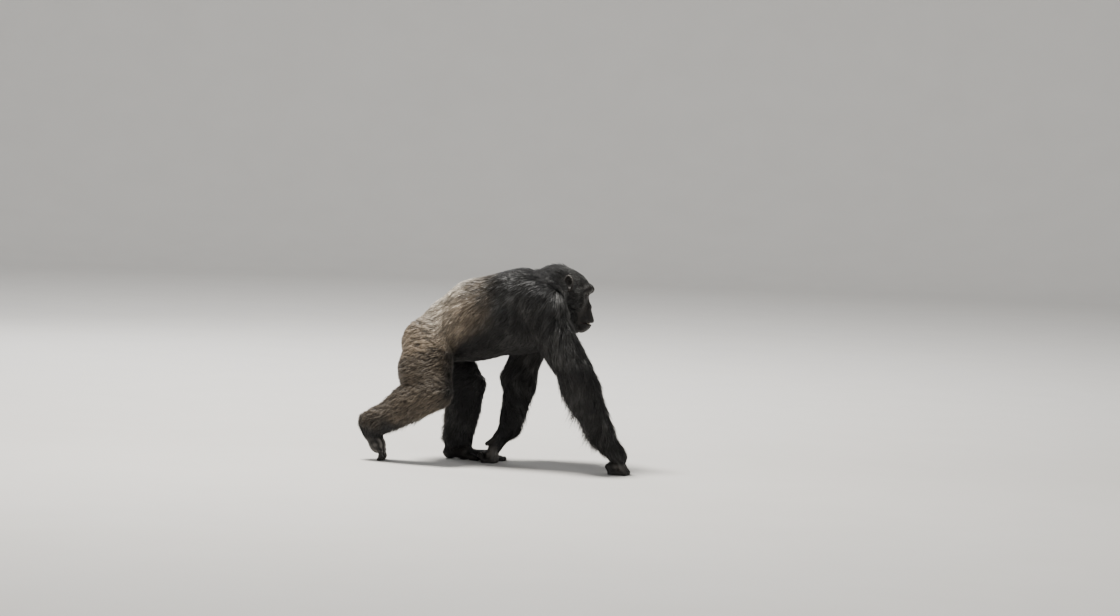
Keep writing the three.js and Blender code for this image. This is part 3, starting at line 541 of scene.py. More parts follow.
def piece(name, corners, faces, material, marks=None):
    """A smooth mesh piece that rides on the body. Marks are named values, one per corner."""
    faces = np.asarray(faces, np.int32)
    mesh = bpy.data.meshes.new(name)
    mesh.vertices.add(len(corners))
    mesh.vertices.foreach_set("co", to_scene(corners).astype(np.float32).ravel())
    mesh.loops.add(faces.size)
    mesh.loops.foreach_set("vertex_index", faces.ravel())
    mesh.polygons.add(len(faces))
    mesh.polygons.foreach_set("loop_start", np.arange(0, faces.size, faces.shape[1], dtype=np.int32))
    mesh.polygons.foreach_set("use_smooth", np.ones(len(faces), bool))
    for mark, values in (marks or {}).items():
        mesh.attributes.new(mark, "FLOAT", "POINT").data.foreach_set("value", np.asarray(values, np.float32))
    mesh.update(calc_edges=True)
    mesh.validate()
    mesh.materials.append(material)
    obj = bpy.data.objects.new(name, mesh)
    bpy.context.scene.collection.objects.link(obj)
    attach(obj, "root")
    return obj


def joined(parts):
    """Several lists of corners and faces as one."""
    corners, faces, start = [], [], 0
    for c, f in parts:
        corners.append(c)
        faces.append(f + start)
        start += len(c)
    return np.concatenate(corners), np.concatenate(faces)


# Materials

class Nodes:
    """Short words for making shader nodes in a tree."""

    def __init__(self, tree):
        self.tree = tree

    def feed(self, socket, value):
        if isinstance(value, bpy.types.NodeSocket):
            self.tree.links.new(value, socket)
        else:
            socket.default_value = value

    def make(self, kind, *values, **named):
        """A node fed with values: from its first socket on, or by the names of its sockets."""
        node = self.tree.nodes.new(kind)
        for socket, value in zip(node.inputs, values):
            self.feed(socket, value)
        for name, value in named.items():
            self.feed(node.inputs[name], value)
        return node

    def math(self, operation, first, *others):
        for other in others:
            node = self.make("ShaderNodeMath", first, other)
            node.operation = operation
            first = node.outputs[0]
        return first

    def times(self, *values):
        return self.math("MULTIPLY", *values)

    def plus(self, *values):
        return self.math("ADD", *values)

    def minus(self, *values):
        return self.math("SUBTRACT", *values)

    def most(self, *values):
        return self.math("MAXIMUM", *values)

    def size_of(self, value):
        return self.math("ABSOLUTE", value, 0.0)

    def ramp(self, value, low, high, to_low=0.0, to_high=1.0):
        node = self.make("ShaderNodeMapRange", value, low, high, to_low, to_high)
        node.interpolation_type = "SMOOTHSTEP"
        return node.outputs[0]

    def across(self, value, axis, start, end):
        """0 before one place along an axis and 1 past another, both in the animal's frame."""
        return self.ramp(value, (start + SHIFT[axis]) / 1000, (end + SHIFT[axis]) / 1000)

    def mix(self, factor, a, b):
        node = self.make("ShaderNodeMix", factor)
        node.data_type = "RGBA"
        self.feed(node.inputs[6], a)
        self.feed(node.inputs[7], b)
        return node.outputs[2]

    def noise(self, vector, scale, detail=3.0, rough=0.5):
        node = self.make("ShaderNodeTexNoise", Vector=vector, Scale=scale, Detail=detail, Roughness=rough)
        return node.outputs["Fac"]

    def place(self):
        return self.make("ShaderNodeTexCoord").outputs["Object"]

    def split(self, vector):
        return self.make("ShaderNodeSeparateXYZ", vector).outputs

    def stretched(self, vector, scale):
        return self.make("ShaderNodeMapping", Vector=vector, Scale=scale).outputs[0]

    def mark(self, name):
        """The value that a mesh carries under this name."""
        node = self.make("ShaderNodeAttribute")
        node.attribute_name = name
        return node.outputs["Fac"]

    def group(self, tree, **values):
        node = self.make("ShaderNodeGroup")
        node.node_tree = tree
        for name, value in values.items():
            self.feed(node.inputs[name], value)
        return node.outputs

    def bump(self, shader, height, strength, distance):
        node = self.make("ShaderNodeBump", Strength=strength, Distance=distance, Height=height)
        self.feed(shader.inputs["Normal"], node.outputs[0])


X, Y, Z = 0, 1, 2
COLOUR, NUMBER = "NodeSocketColor", "NodeSocketFloat"
# The third hair colour is a painted highlight of sunlight on the pale hair along the top of the lower back.
HAIR_COLOURS = dict(Dark=(0.0065, 0.0064, 0.007, 1), Pale=(0.185, 0.145, 0.103, 1),
                    Painted_highlight=(0.55, 0.505, 0.435, 1))
# Under the coat the third colour is the same painted highlight, darker.
UNDER_COAT = dict(Dark=(0.012, 0.0105, 0.0095, 1), Pale=(0.05, 0.038, 0.028, 1),
                  Painted_highlight=(0.11, 0.095, 0.078, 1))
# Grey for grey hair at the cheeks and for painted sheen on the dark hair.
GREY_HAIR_AND_SHEEN = (0.052, 0.052, 0.05, 1)
SKIN_DARK, SKIN_BROWN = (0.0075, 0.0065, 0.006, 1), (0.014, 0.0118, 0.0105, 1)
# The second of these skin colours is a painted highlight for the knuckles, toes and ear rims; the first is
# worn skin.
SKIN_WORN, SKIN_HIGHLIGHT = (0.03, 0.027, 0.025, 1), (0.20, 0.185, 0.17, 1)
MOUTH_LINING = (0.024, 0.009, 0.008, 1)
PUPIL = (0.002, 0.002, 0.002, 1)
IRIS_COLOURS = (0.026, 0.011, 0.005, 1), (0.07, 0.029, 0.011, 1)
EYE_WHITE_COLOURS = (0.022, 0.012, 0.008, 1), (0.048, 0.031, 0.024, 1)
TOOTH_COLOURS = (0.72, 0.66, 0.52, 1), (0.50, 0.40, 0.26, 1)
NAIL_COLOURS = (0.018, 0.014, 0.012, 1), (0.06, 0.048, 0.04, 1)
FLOOR_COLOURS = (0.56, 0.545, 0.52, 1), (0.60, 0.585, 0.56, 1)


def shader_group(name, inputs, outputs, build):
    """A group of nodes with named inputs and their usual values, and outputs of the given kinds."""
    tree = bpy.data.node_groups.new(name, "ShaderNodeTree")
    for title, value in inputs.items():
        kind = COLOUR if isinstance(value, tuple) else NUMBER
        tree.interface.new_socket(title, in_out="INPUT", socket_type=kind).default_value = value
    for title, kind in outputs.items():
        tree.interface.new_socket(title, in_out="OUTPUT", socket_type=kind)
    n = Nodes(tree)
    given, made = n.make("NodeGroupInput"), n.make("NodeGroupOutput")
    for title, value in build(n, given.outputs).items():
        n.feed(made.inputs[title], value)
    return tree


def build_markings(n, given):
    """Dark in front, paler over the rump and on the outside of the legs, with a painted sunlit highlight
    along the top of the lower back.
    """
    place = n.place()
    x, y, z = n.split(place)
    patch = n.times(n.minus(n.noise(place, 9.0, 3.0), 0.5), given["Ragged"])
    x_rough, z_rough = n.plus(x, patch), n.plus(z, patch)
    outward = n.size_of(n.minus(y, SHIFT[Y] / 1000))
    rear = n.across(x_rough, X, 35, -175)
    flank = n.across(n.minus(z_rough, n.times(x, 0.42)), Z, 478, 548)
    saddle = n.times(rear, flank)
    rump = n.times(n.across(x_rough, X, -190, -290), n.across(z_rough, Z, 330, 420), 0.52)
    # Only the outer sides of the rear legs turn pale: the dark inner sides are partly darker hair and partly
    # painted shade between the legs.
    limb = n.times(n.ramp(outward, 0.060, 0.105), n.across(x_rough, X, -110, -200))
    leg = n.times(limb, n.across(z_rough, Z, 95, 170), 0.42)
    pale = n.most(saddle, rump, leg)
    upper_back = n.times(n.across(x_rough, X, -30, -130), n.across(x_rough, X, -345, -215))
    # Painted highlight: sunlight on the top of the lower back, lighter nearest the spine.
    highlight_mask = n.times(upper_back, n.ramp(n.plus(outward, patch), 0.165, 0.04), 0.8)
    pale_colour = n.mix(highlight_mask, given["Pale"], given["Painted_highlight"])
    return {"Colour": n.mix(pale, given["Dark"], pale_colour), "Pale part": pale}


def build_creases(n, given):
    """A net of fine creases with grain between them."""
    place = n.place()
    grain = n.noise(place, n.times(given["Scale"], 2.6), 5.0, 0.65)
    lines = []
    for way in ((1.0, 1.0, 1.7), (1.5, 1.0, 0.8)):
        ridged = n.size_of(n.minus(n.noise(n.stretched(place, way), given["Scale"], 3.0), 0.5))
        lines.append(n.ramp(ridged, 0.0, 0.07))
    return {"Height": n.plus(n.times(*lines, 0.55), n.times(grain, 0.6)), "Worn": n.times(lines[0], grain)}


markings = shader_group("coat_markings", dict(HAIR_COLOURS, Ragged=0.10),
                        {"Colour": COLOUR, "Pale part": NUMBER}, build_markings)
creases = shader_group("skin_creases", dict(Scale=260.0), dict(Height=NUMBER, Worn=NUMBER), build_creases)


def material(name, build, **sockets):
    made = bpy.data.materials.new(name)
    made.use_nodes = True
    n = Nodes(made.node_tree)
    shader = made.node_tree.nodes["Principled BSDF"]
    for key, value in sockets.items():
        n.feed(shader.inputs[key.replace("_", " ")], value)
    build(n, shader)
    return made


def hair_nodes(n, shader):
    """Each tuft has its own tone, which in wavy hair also holds painted shade in the furrows, and a darker
    root. The dark hair is greyed by painted sheen in patches and at the front above the elbows, and at the
    cheek by grey hair with painted sheen.
    """
    marks = n.group(markings)
    tone, along = n.mark("tone"), n.mark("along")
    place = n.place()
    x, _, z = n.split(place)
    streak = n.noise(n.stretched(place, (1.0, 1.0, 0.6)), 420.0, 2.0)
    # In wavy hair the tone mark also carries painted shade in the furrows.
    shade = n.times(n.ramp(tone, 0.0, 1.0, 0.34, 1.8), n.ramp(streak, 0.25, 0.75, 0.75, 1.25),
                    n.ramp(along, 0.0, 0.9, 0.35, 1.2))
    # Painted sheen: grey in loose patches over the dark hair, more on lighter tufts.
    wear_and_sheen = n.times(n.ramp(n.noise(place, 11.0, 2.0), 0.42, 0.62), n.ramp(tone, 0.3, 1.0, 0.05, 0.6))
    # The cheeks: grey hair, with painted sheen.
    cheek = n.times(n.across(x, X, 222, 270), n.ramp(tone, 0.0, 0.8, 0.3, 1.0), n.across(z, Z, 520, 600))
    # Painted sheen on the dark hair at the front of the body above the elbows.
    front = n.times(n.across(x, X, 190, 270), n.ramp(tone, 0.2, 0.9, 0.1, 0.7), n.across(z, Z, 355, 400))
    grey = n.mix(n.most(wear_and_sheen, cheek, front), marks["Colour"], GREY_HAIR_AND_SHEEN)
    colour = n.mix(marks["Pale part"], grey, marks["Colour"])
    shaded = n.make("ShaderNodeVectorMath", colour)
    shaded.operation = "SCALE"
    n.feed(shaded.inputs["Scale"], shade)
    n.feed(shader.inputs["Base Color"], shaded.outputs[0])
    n.feed(shader.inputs["Roughness"], n.ramp(streak, 0.2, 0.8, 0.38, 0.58))


def skin_nodes(n, shader):
    """Creased and mottled where it is bare, and marked as the coat is where the coat covers it."""
    marks = n.group(markings, **UNDER_COAT)
    wear_and_sheen = n.group(creases, Scale=120.0)
    skin = n.mix(n.ramp(n.noise(n.place(), 34.0, 4.0), 0.42, 0.68), SKIN_DARK, SKIN_BROWN)
    skin = n.mix(n.times(n.ramp(wear_and_sheen["Worn"], 0.35, 0.8), 0.4), skin, SKIN_WORN)
    # Painted highlights on the knuckles, toes and ear rims.
    skin = n.mix(n.mark("skin_highlight"), skin, SKIN_HIGHLIGHT)
    skin = n.mix(n.mark("mouth"), skin, MOUTH_LINING)
    n.feed(shader.inputs["Base Color"], n.mix(n.mark("bare"), marks["Colour"], skin))
    n.feed(shader.inputs["Roughness"], n.ramp(wear_and_sheen["Height"], 0.2, 0.9, 0.62, 0.42))
    n.bump(shader, wear_and_sheen["Height"], 0.45, 0.0007)


def eye_nodes(n, shader):
    """A pupil, a brown iris and a dark white, by the angle from where the eye looks."""
    gaze, place = n.mark("gaze"), n.place()
    iris = n.mix(n.ramp(n.noise(place, 900.0, 3.0), 0.3, 0.7), *IRIS_COLOURS)
    white = n.mix(n.noise(place, 160.0), *EYE_WHITE_COLOURS)
    colour = n.mix(n.ramp(gaze, 0.50, 0.56), iris, white)
    n.feed(shader.inputs["Base Color"], n.mix(n.ramp(gaze, 0.20, 0.235), PUPIL, colour))


def tooth_nodes(n, shader):
    stain = n.noise(n.place(), 220.0, 4.0)
    n.feed(shader.inputs["Base Color"], n.mix(n.ramp(stain, 0.35, 0.75), *TOOTH_COLOURS))
    n.bump(shader, stain, 0.2, 0.0005)


def nail_nodes(n, shader):
    ridges = n.noise(n.stretched(n.place(), (0.3, 3.0, 0.3)), 500.0, 3.0)
    n.feed(shader.inputs["Base Color"], n.mix(ridges, *NAIL_COLOURS))
    n.bump(shader, ridges, 0.3, 0.0004)


def floor_nodes(n, shader):
    n.feed(shader.inputs["Base Color"], n.mix(n.noise(n.place(), 3.0), *FLOOR_COLOURS))


hair = material("coarse_hair", hair_nodes, Specular_IOR_Level=0.4)
flesh = material("creased_dark_skin", skin_nodes, Specular_IOR_Level=0.25)
eye_finish = material("wet_brown_eye", eye_nodes, Roughness=0.12, Coat_Weight=1.0, Coat_Roughness=0.02)
tooth_finish = material("tooth_enamel", tooth_nodes, Roughness=0.25, Subsurface_Weight=0.1,
                        Subsurface_Radius=(0.002, 0.0015, 0.001))
nail_finish = material("dark_nail", nail_nodes, Roughness=0.35)
floor_finish = material("pale_floor", floor_nodes, Roughness=0.85)


# The skin

BODY_GRID, FACE_GRID, HEAD_GRID, PAW_GRID = 6, 1.5, 3, 2.1  # spacing in millimetres
body_axes = [steps(-536, BODY_GRID, 556), steps(-252, BODY_GRID, 252), steps(-20, BODY_GRID, 778)]
body_values = values_on(body, body_axes)
shells = {"body": skin_over(body_without_ends, body_axes)}


def head_shell(q):
    p = from_head(q)
    return np.maximum(face(p), head_room(p) - OVERLAP)


face_axes = [steps(185, HEAD_GRID, 280, FACE_GRID, 372),
             steps(-98, HEAD_GRID, -50, FACE_GRID, 50, HEAD_GRID, 98),
             steps(474, HEAD_GRID, 504, FACE_GRID, 676, HEAD_GRID, 764)]
corners, faces = skin_over(head_shell, face_axes)
shells["head"] = from_head(corners), faces


def paw_shell(shape, room):
    return lambda p: np.maximum(shape(p), room(p) - OVERLAP)


for name, (shape, room, ends) in PAWS.items():
    low, high = np.min(ends, 0) - 48, np.max(ends, 0) + 48
    low[Z] = FLOOR - 3
    shells[name] = skin_over(paw_shell(shape, room), [steps(a, PAW_GRID, b) for a, b in zip(low, high)])

skin_corners, skin_faces = joined(shells.values())


def highlight_patch(centre, stretch, width):
    """A painted highlight on the skin around a place, 1 in its middle."""
    return groove(np.linalg.norm((skin_corners - centre) * stretch, axis=1), width)


def skin_marks():
    """Where the skin is bare, where it lines the mouth, and where a highlight is painted on it."""
    in_head = to_head(skin_corners)
    lip_x = mouth_line(np.clip(in_head[:, 1] / MOUTH["half"], -1, 1))[0]
    lining = (mouth_opening(in_head) < 0.4) & (in_head[:, 0] < lip_x - 2)
    # Painted highlights: a patch on each hand's knuckles and stripes down the fronts of the right foot's
    # toes.
    knuckles = sum(0.6 * highlight_patch(between(arm["knuckles"], arm["joints"][0], 0.4), V(1, 0.35, 0.8), 20)
                   for arm in ARMS.values())
    toes = 0.9 * highlight_patch(V(-414, -98, 44), V(0.9, 0.5, 0.55), 24)
    toes *= 0.5 - 0.5 * np.cos((skin_corners[:, 1] + 90) * 2 * math.pi / TOES["pitch"])
    bare = 1 - np.clip(coat_depth(skin_corners) / 5, 0, 1)
    return {"bare": bare, "mouth": lining, "skin_highlight": knuckles + toes}


skin = piece("skin", skin_corners, skin_faces, flesh, skin_marks())
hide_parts("neck", "chest", "abdomen", "pelvis", "head",
            *[f"{node}_{side}" for side in SIDES for node in
              ("upper_arm", "forearm", "hand", "thigh", "shank", "foot")])


# Ears, eyes, teeth and nails

def ear_to_animal(q, s):
    """Points from an ear's own frame, x to its front edge, y out of the head and z up."""
    a = s * math.radians(EAR["flare"])
    c, sn = math.cos(a), math.sin(a)
    x, y = q[:, 0], s * q[:, 1]
    flared = np.stack([c * x - sn * y, sn * x + c * y, q[:, 2]], -1)
    return from_head(flared + V(EAR["x"], s * EAR["y"], EAR["z"]))


def arc_rows(rx, rz, start, end, radius, out):
    turns = np.radians(np.linspace(start, end, 14))
    path = [V(rx * math.cos(t), out, rz * math.sin(t)) for t in turns]
    return [(cone(a, b, radius, radius), 3) for a, b in zip(path, path[1:])]


ear_dish = melted([(ball(V(0, 0, 0), EAR["wide"], 6.5, EAR["tall"]), 2)])
ear_rim = melted(arc_rows(19.8, 28.6, -70, 235, 2.6, 2.6))
ear_ridge = melted(arc_rows(9.5, 15.5, 60, 250, 2.2, -0.5))
ear_tragus = melted([(ball(V(13, 1.5, -8), 4.5, 4.5, 6.5), 2), (ball(V(3, 1, -19), 6, 3.5, 4), 3)])


def ear_shape(q):
    d = np.maximum(ear_dish(q), -ball(V(1, 7.5, 1), 19.2, 9.2, 28)(q))
    d = np.maximum(d, -ball(V(5, 3, -4), 9, 7.5, 11)(q))
    d = melt(melt(melt(d, ear_rim(q), 2.5), ear_ridge(q), 3), ear_tragus(q), 3)
    return d + 0.25 * np.sin(q[:, 0] * 0.9) * np.sin(q[:, 2] * 0.7)


for side, s in SIDES.items():
    corners, faces = skin_over(ear_shape, [steps(-27, 1.15, 27), steps(-10, 1.0, 10), steps(-36, 1.15, 36)])
    if s < 0:
        faces = faces[:, ::-1]
    from_middle = np.hypot(corners[:, 0] / EAR["wide"], corners[:, 2] / EAR["tall"])
    # A painted highlight along the ear's upper rim, and a faint one over the whole ear.
    rim_light = 0.03 + 0.2 * ramp(from_middle, 0.78, 0.95) * ramp(corners[:, 2], -12, 10)
    ear = piece(f"ear_{side}", ear_to_animal(corners, s), faces, flesh,
                {"bare": np.ones(len(corners)), "mouth": np.zeros(len(corners)), "skin_highlight": rim_light})
    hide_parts(f"ear_{side}")


def rounded(centre, size, axes, power=1.0, around=24, down=14):
    """A rounded lump: a ball at power 1 and more of a box below that. Its third axis points out."""
    def soft(a):
        return np.sign(a) * np.abs(a) ** power

    u = np.linspace(0, 2 * math.pi, around, endpoint=False)
    v = np.linspace(0, math.pi, down)[1:-1, None]
    ring = np.stack(np.broadcast_arrays(soft(np.sin(v)) * soft(np.cos(u)), soft(np.sin(v)) * soft(np.sin(u)),
                                        soft(np.cos(v))), -1).reshape(-1, 3)
    points = np.concatenate([ring, [[0, 0, 1], [0, 0, -1]]]) * size @ np.array(axes)
    index = np.arange(len(ring)).reshape(-1, around)
    after = np.roll(index, -1, 1)
    quads = np.stack([index[:-1], index[1:], after[1:], after[:-1]], -1).reshape(-1, 4)
    top, end = len(ring), len(ring) + 1
    caps = [[top, index[0, i], after[0, i]] for i in range(around)]
    caps += [[end, after[-1, i], index[-1, i]] for i in range(around)]
    return points + centre, np.concatenate([quads[:, [0, 1, 2]], quads[:, [0, 2, 3]], np.array(caps)])


for side, s in SIDES.items():
    look = unit(V(1, s * 0.10, -0.05))
    across = unit(np.cross(V(0, 0, 1), look))
    eye_axes = (across, np.cross(look, across), look)
    corners, faces = rounded(V(0, 0, 0), EYE_RADIUS, eye_axes, around=48, down=40)
    gaze = np.arccos(np.clip(unit(corners) @ look, -1, 1))
    corners = corners * (1 + 0.045 * groove(gaze, 0.42))[:, None]  # the cornea stands out
    eye = piece(f"eye_{side}", from_head(corners + eye_at(s)), faces, eye_finish, {"gaze": gaze})
    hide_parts(f"eye_{side}")


def tooth(i, drop):
    """One of a row of eight teeth that curves behind the lips. The upper row has two longer ones."""
    t = (i - 3.5) / 3.5 * 0.5
    long = 6.6 if i in (1, 6) and drop > 0 else 5.6
    place = V(MOUTH["corner"] + (MOUTH["front"] - 13 - MOUTH["corner"]) * (1 - t * t),
              (MOUTH["half"] - 9) * t * 1.12, MOUTH["height"] + drop)
    turn = -t * 1.25
    axes = (V(math.cos(turn), math.sin(turn), 0), V(-math.sin(turn), math.cos(turn), 0), V(0, 0, 1))
    return rounded(place, V(2.5, 2.75, long), axes, 0.62)


corners, faces = joined([tooth(i, drop) for drop in (6.3, -7.2) for i in range(8)])
piece("teeth", from_head(corners), faces, tooth_finish)


def nails_on(joints, sizes):
    """A nail on the back of each digit's last joint, where that is clear of the floor."""
    along = unit(joints[-1] - joints[-2])
    dorsal = unit(np.cross(V(0, 1, 0), along))
    nails = []
    for step, reach, radius in digits_of(sizes):
        r = radius * DIGIT_TAPER[-1]
        tip = joints[-1] + V(reach, step * sizes["pitch"], 0) + along * r * 0.35 + dorsal * r * 0.72
        if tip[Z] > FLOOR + 4:
            size = V(r * 0.62, r * 0.8, r * 0.28)
            nails.append(rounded(tip, size, (V(0, 1, 0), along, dorsal), 0.8, 18, 10))
    return nails


corners, faces = joined([nail for limbs, sizes in ((ARMS, FINGERS), (LEGS, TOES))
                         for limb in limbs.values() for nail in nails_on(limb["joints"], sizes)])
piece("nails", corners, faces, nail_finish)


# The coat

# For each part: tufts to a square centimetre, their length, their width, and how much they gather into locks.
COATS = {
    "head": dict(dense=20, long=28, wide=1.9, gather=0.35),
    "chest": dict(dense=6.0, long=62, wide=3.1, gather=0.55),
    "abdomen": dict(dense=6.2, long=58, wide=3.1, gather=0.5),
    "pelvis": dict(dense=7.5, long=42, wide=2.8, gather=0.4),
    "upper_arm": dict(dense=6.4, long=60, wide=3.0, gather=0.55),
    "forearm": dict(dense=7.5, long=60, wide=2.8, gather=0.6),
    "thigh": dict(dense=7.5, long=28, wide=2.7, gather=0.3),
    "shank": dict(dense=7.0, long=28, wide=2.7, gather=0.3),
}
# A tuft's rings: how far along, how high in sleek and in shaggy hair and at least, and how wide.
RINGS = (
    dict(at=0.34, sleek=0.25, shaggy=0.22, least=0.5, wide=1.0),
    dict(at=0.70, sleek=0.72, shaggy=0.60, least=0.8, wide=0.8),
    dict(at=1.0, sleek=0.98, shaggy=1.12, least=0.6, wide=0.0),
)
ROOT_DEPTH, ROOT_WIDE = 3.5, 0.55
MOST_DENSE = 7.5  # tufts to a square centimetre before each part is thinned, apart from the head
MOST_TUFTS = 12400  # in one piece
TUFTS_IN_LOCK = 14
rng = np.random.default_rng(31)
origin = V(body_axes[0][0], body_axes[1][0], body_axes[2][0])


def near_value(p):
    """The field of the body, read between the points of its grid."""
    g = np.clip((p - origin) * (1 / BODY_GRID), 0, np.array(body_values.shape) - 1.001)
    i = g.astype(int)
    f = g - i
    total = 0
    for corner in np.ndindex(2, 2, 2):
        share = [f[:, k] if past else 1 - f[:, k] for k, past in enumerate(corner)]
        total = total + share[0] * share[1] * share[2] * body_values[tuple((i + corner).T)]
    return total


def out_of(p, step=3.0):
    return unit(np.stack([near_value(p + step * e) - near_value(p - step * e) for e in np.eye(3)], -1))


def flat_to(v, normal):
    return unit(v - dot(v, normal)[:, None] * normal)


def limb_hair():
    """Each limb's shape, joints, ways its hair lies, how far out those count, and its parts of the coat."""
    for side in SIDES:
        arm, leg = ARMS[side], LEGS[side]
        ways = (unit(arm["elbow"] - arm["shoulder"]) + V(-0.35, 0, -0.1),
                unit(arm["wrist"] - arm["elbow"]) + V(-0.5 * np.sign(arm["fringe"]), 0, -0.2),
                unit(arm["knuckles"] - arm["wrist"]))
        joints = [arm[name] for name in ("shoulder", "elbow", "wrist", "knuckles")]
        yield arms[side], joints, ways, 60, (f"upper_arm_{side}", f"forearm_{side}")
        ways = (V(-1, 0, -0.4), unit(leg["ankle"] - leg["knee"]) + V(-0.1, 0, -0.2),
                unit(leg["pad"] - leg["heel"]))
        joints = [leg[name] for name in ("hip", "knee", "ankle", "pad")]
        yield legs[side], joints, ways, 26, (f"thigh_{side}", f"shank_{side}")


def lie_at(p):
    """The way the hair lies, and the part of the coat that a root belongs to."""
    steep = -0.35 - 0.9 * np.clip(np.abs(p[:, 1]) / 140, 0, 1) ** 2
    lie = unit(np.stack([-np.ones(len(p)), np.zeros(len(p)), steep], -1))
    q = to_head(p)
    on_head = ramp(past_neck(p), -30, 12) * (1 - ramp(np.abs(q[:, 1]), 84, 96))
    from_face = unit(turned(q - V(345, 0, 600) + V(0, 0, -20) + HEAD_PIVOT, HEAD_TURN) - HEAD_PIVOT)
    lie = unit(lie * (1 - on_head)[:, None] + from_face * on_head[:, None])
    part = np.where(on_head > 0.5, "head", "trunk")
    for shape, joints, ways, reach, parts in limb_hair():
        near = shape(p)
        weight = 1 - ramp(near, 0, reach)
        if parts[0].startswith("upper_arm"):
            upper = joints[1] - joints[0]
            weight = weight * (0.25 + 0.75 * ramp((p - joints[0]) @ upper / (upper @ upper), 0.0, 0.55))
        way, past = unit(ways[0])[None], []
        for k in (1, 2):
            normal = unit(unit(joints[k] - joints[k - 1]) + unit(joints[k + 1] - joints[k]))
            past.append(ramp((p - joints[k]) @ normal, -35, 35)[:, None])
            way = way * (1 - past[-1]) + unit(ways[k])[None] * past[-1]
        lie = unit(lie * (1 - weight)[:, None] + way * weight[:, None])
        part = np.where(near < 11, np.where(past[0][:, 0] > 0.5, parts[1], parts[0]), part)
    trunk_part = np.where(p[:, 0] < -185, "pelvis", np.where(p[:, 0] < -40, "abdomen", "chest"))
    return lie, np.where(part == "trunk", trunk_part, part)


def roots_on(corners, faces, dense):
    """Points spread over a skin, so many to a square centimetre of each face."""
    a, b, c, d = (corners[faces[:, k]] for k in range(4))
    area = np.linalg.norm(np.cross(c - a, d - b), axis=1) / 2 / 100
    count = np.floor(area * dense + rng.random(len(faces))).astype(int)
    pick = np.repeat(np.arange(len(faces)), count)
    u, v = rng.random((2, len(pick)))[:, :, None]
    return (a[pick] * (1 - u) + b[pick] * u) * (1 - v) + (d[pick] * (1 - u) + c[pick] * u) * v


def walk(p, lie, long, sway):
    """Places on the skin under each ring of a tuft, and the way out there."""
    places, outs = [], []
    travelled = 0.0
    way = flat_to(lie, out_of(p))
    for ring in RINGS:
        normal = out_of(p)
        way = flat_to(way + 0.8 * (lie - dot(lie, normal)[:, None] * normal), normal)
        way = unit(way + np.cross(normal, way) * (sway * (ring["at"] - travelled))[:, None])
        p = p + way * (long * (ring["at"] - travelled))[:, None]
        for _ in range(2):
            normal = out_of(p)
            p = p - near_value(p)[:, None] * normal
        travelled = ring["at"]
        places.append(p)
        outs.append(normal)
    return places, outs


def crimp(p):
    """Ridges of wavy hair on the legs and rump, from 0 in a furrow to 1 on a ridge."""
    x, y, z = p.T
    wave = z + 0.30 * x + 7 * np.sin(x / 21 + y / 31) + 3.5 * np.sin(x / 8.3 + z / 13)
    return 0.5 + 0.5 * np.sin(wave * 2 * math.pi / (15 + 2 * np.sin(x / 57)))


def locks_among(p, lie, long):
    """Neighbouring tufts share a lock: the lock of each, and the locks' paths, rise and tone."""
    count = max(1, len(p) // TUFTS_IN_LOCK)
    centres = p[rng.permutation(len(p))[:count]]
    tree = KDTree(count)
    for i, centre in enumerate(centres):
        tree.insert(centre, i)
    tree.balance()
    lock = np.array([tree.find(root)[1] for root in p])
    members = [lock == i for i in range(count)]
    lie = np.stack([lie[one].mean(0) if one.any() else V(-1, 0, 0) for one in members])
    path, _ = walk(centres, lie, np.full(count, float(np.median(long))), rng.normal(0, 0.25, count))
    return lock, path, rng.uniform(0.72, 1.3, count), rng.random(count)


def tuft_faces(count, size):
    """Three sides between each pair of three-cornered rings, a cap at the root, and the point."""
    faces = [(0, 2, 1)]
    for r in (0, 3):
        for a, b in ((0, 1), (1, 2), (2, 0)):
            faces += [(r + a, r + b, r + 3 + b), (r + a, r + 3 + b, r + 3 + a)]
    faces += [(6, 7, 9), (7, 8, 9), (8, 6, 9)]
    return (np.array(faces)[None] + (np.arange(count) * size)[:, None, None]).reshape(-1, 3)


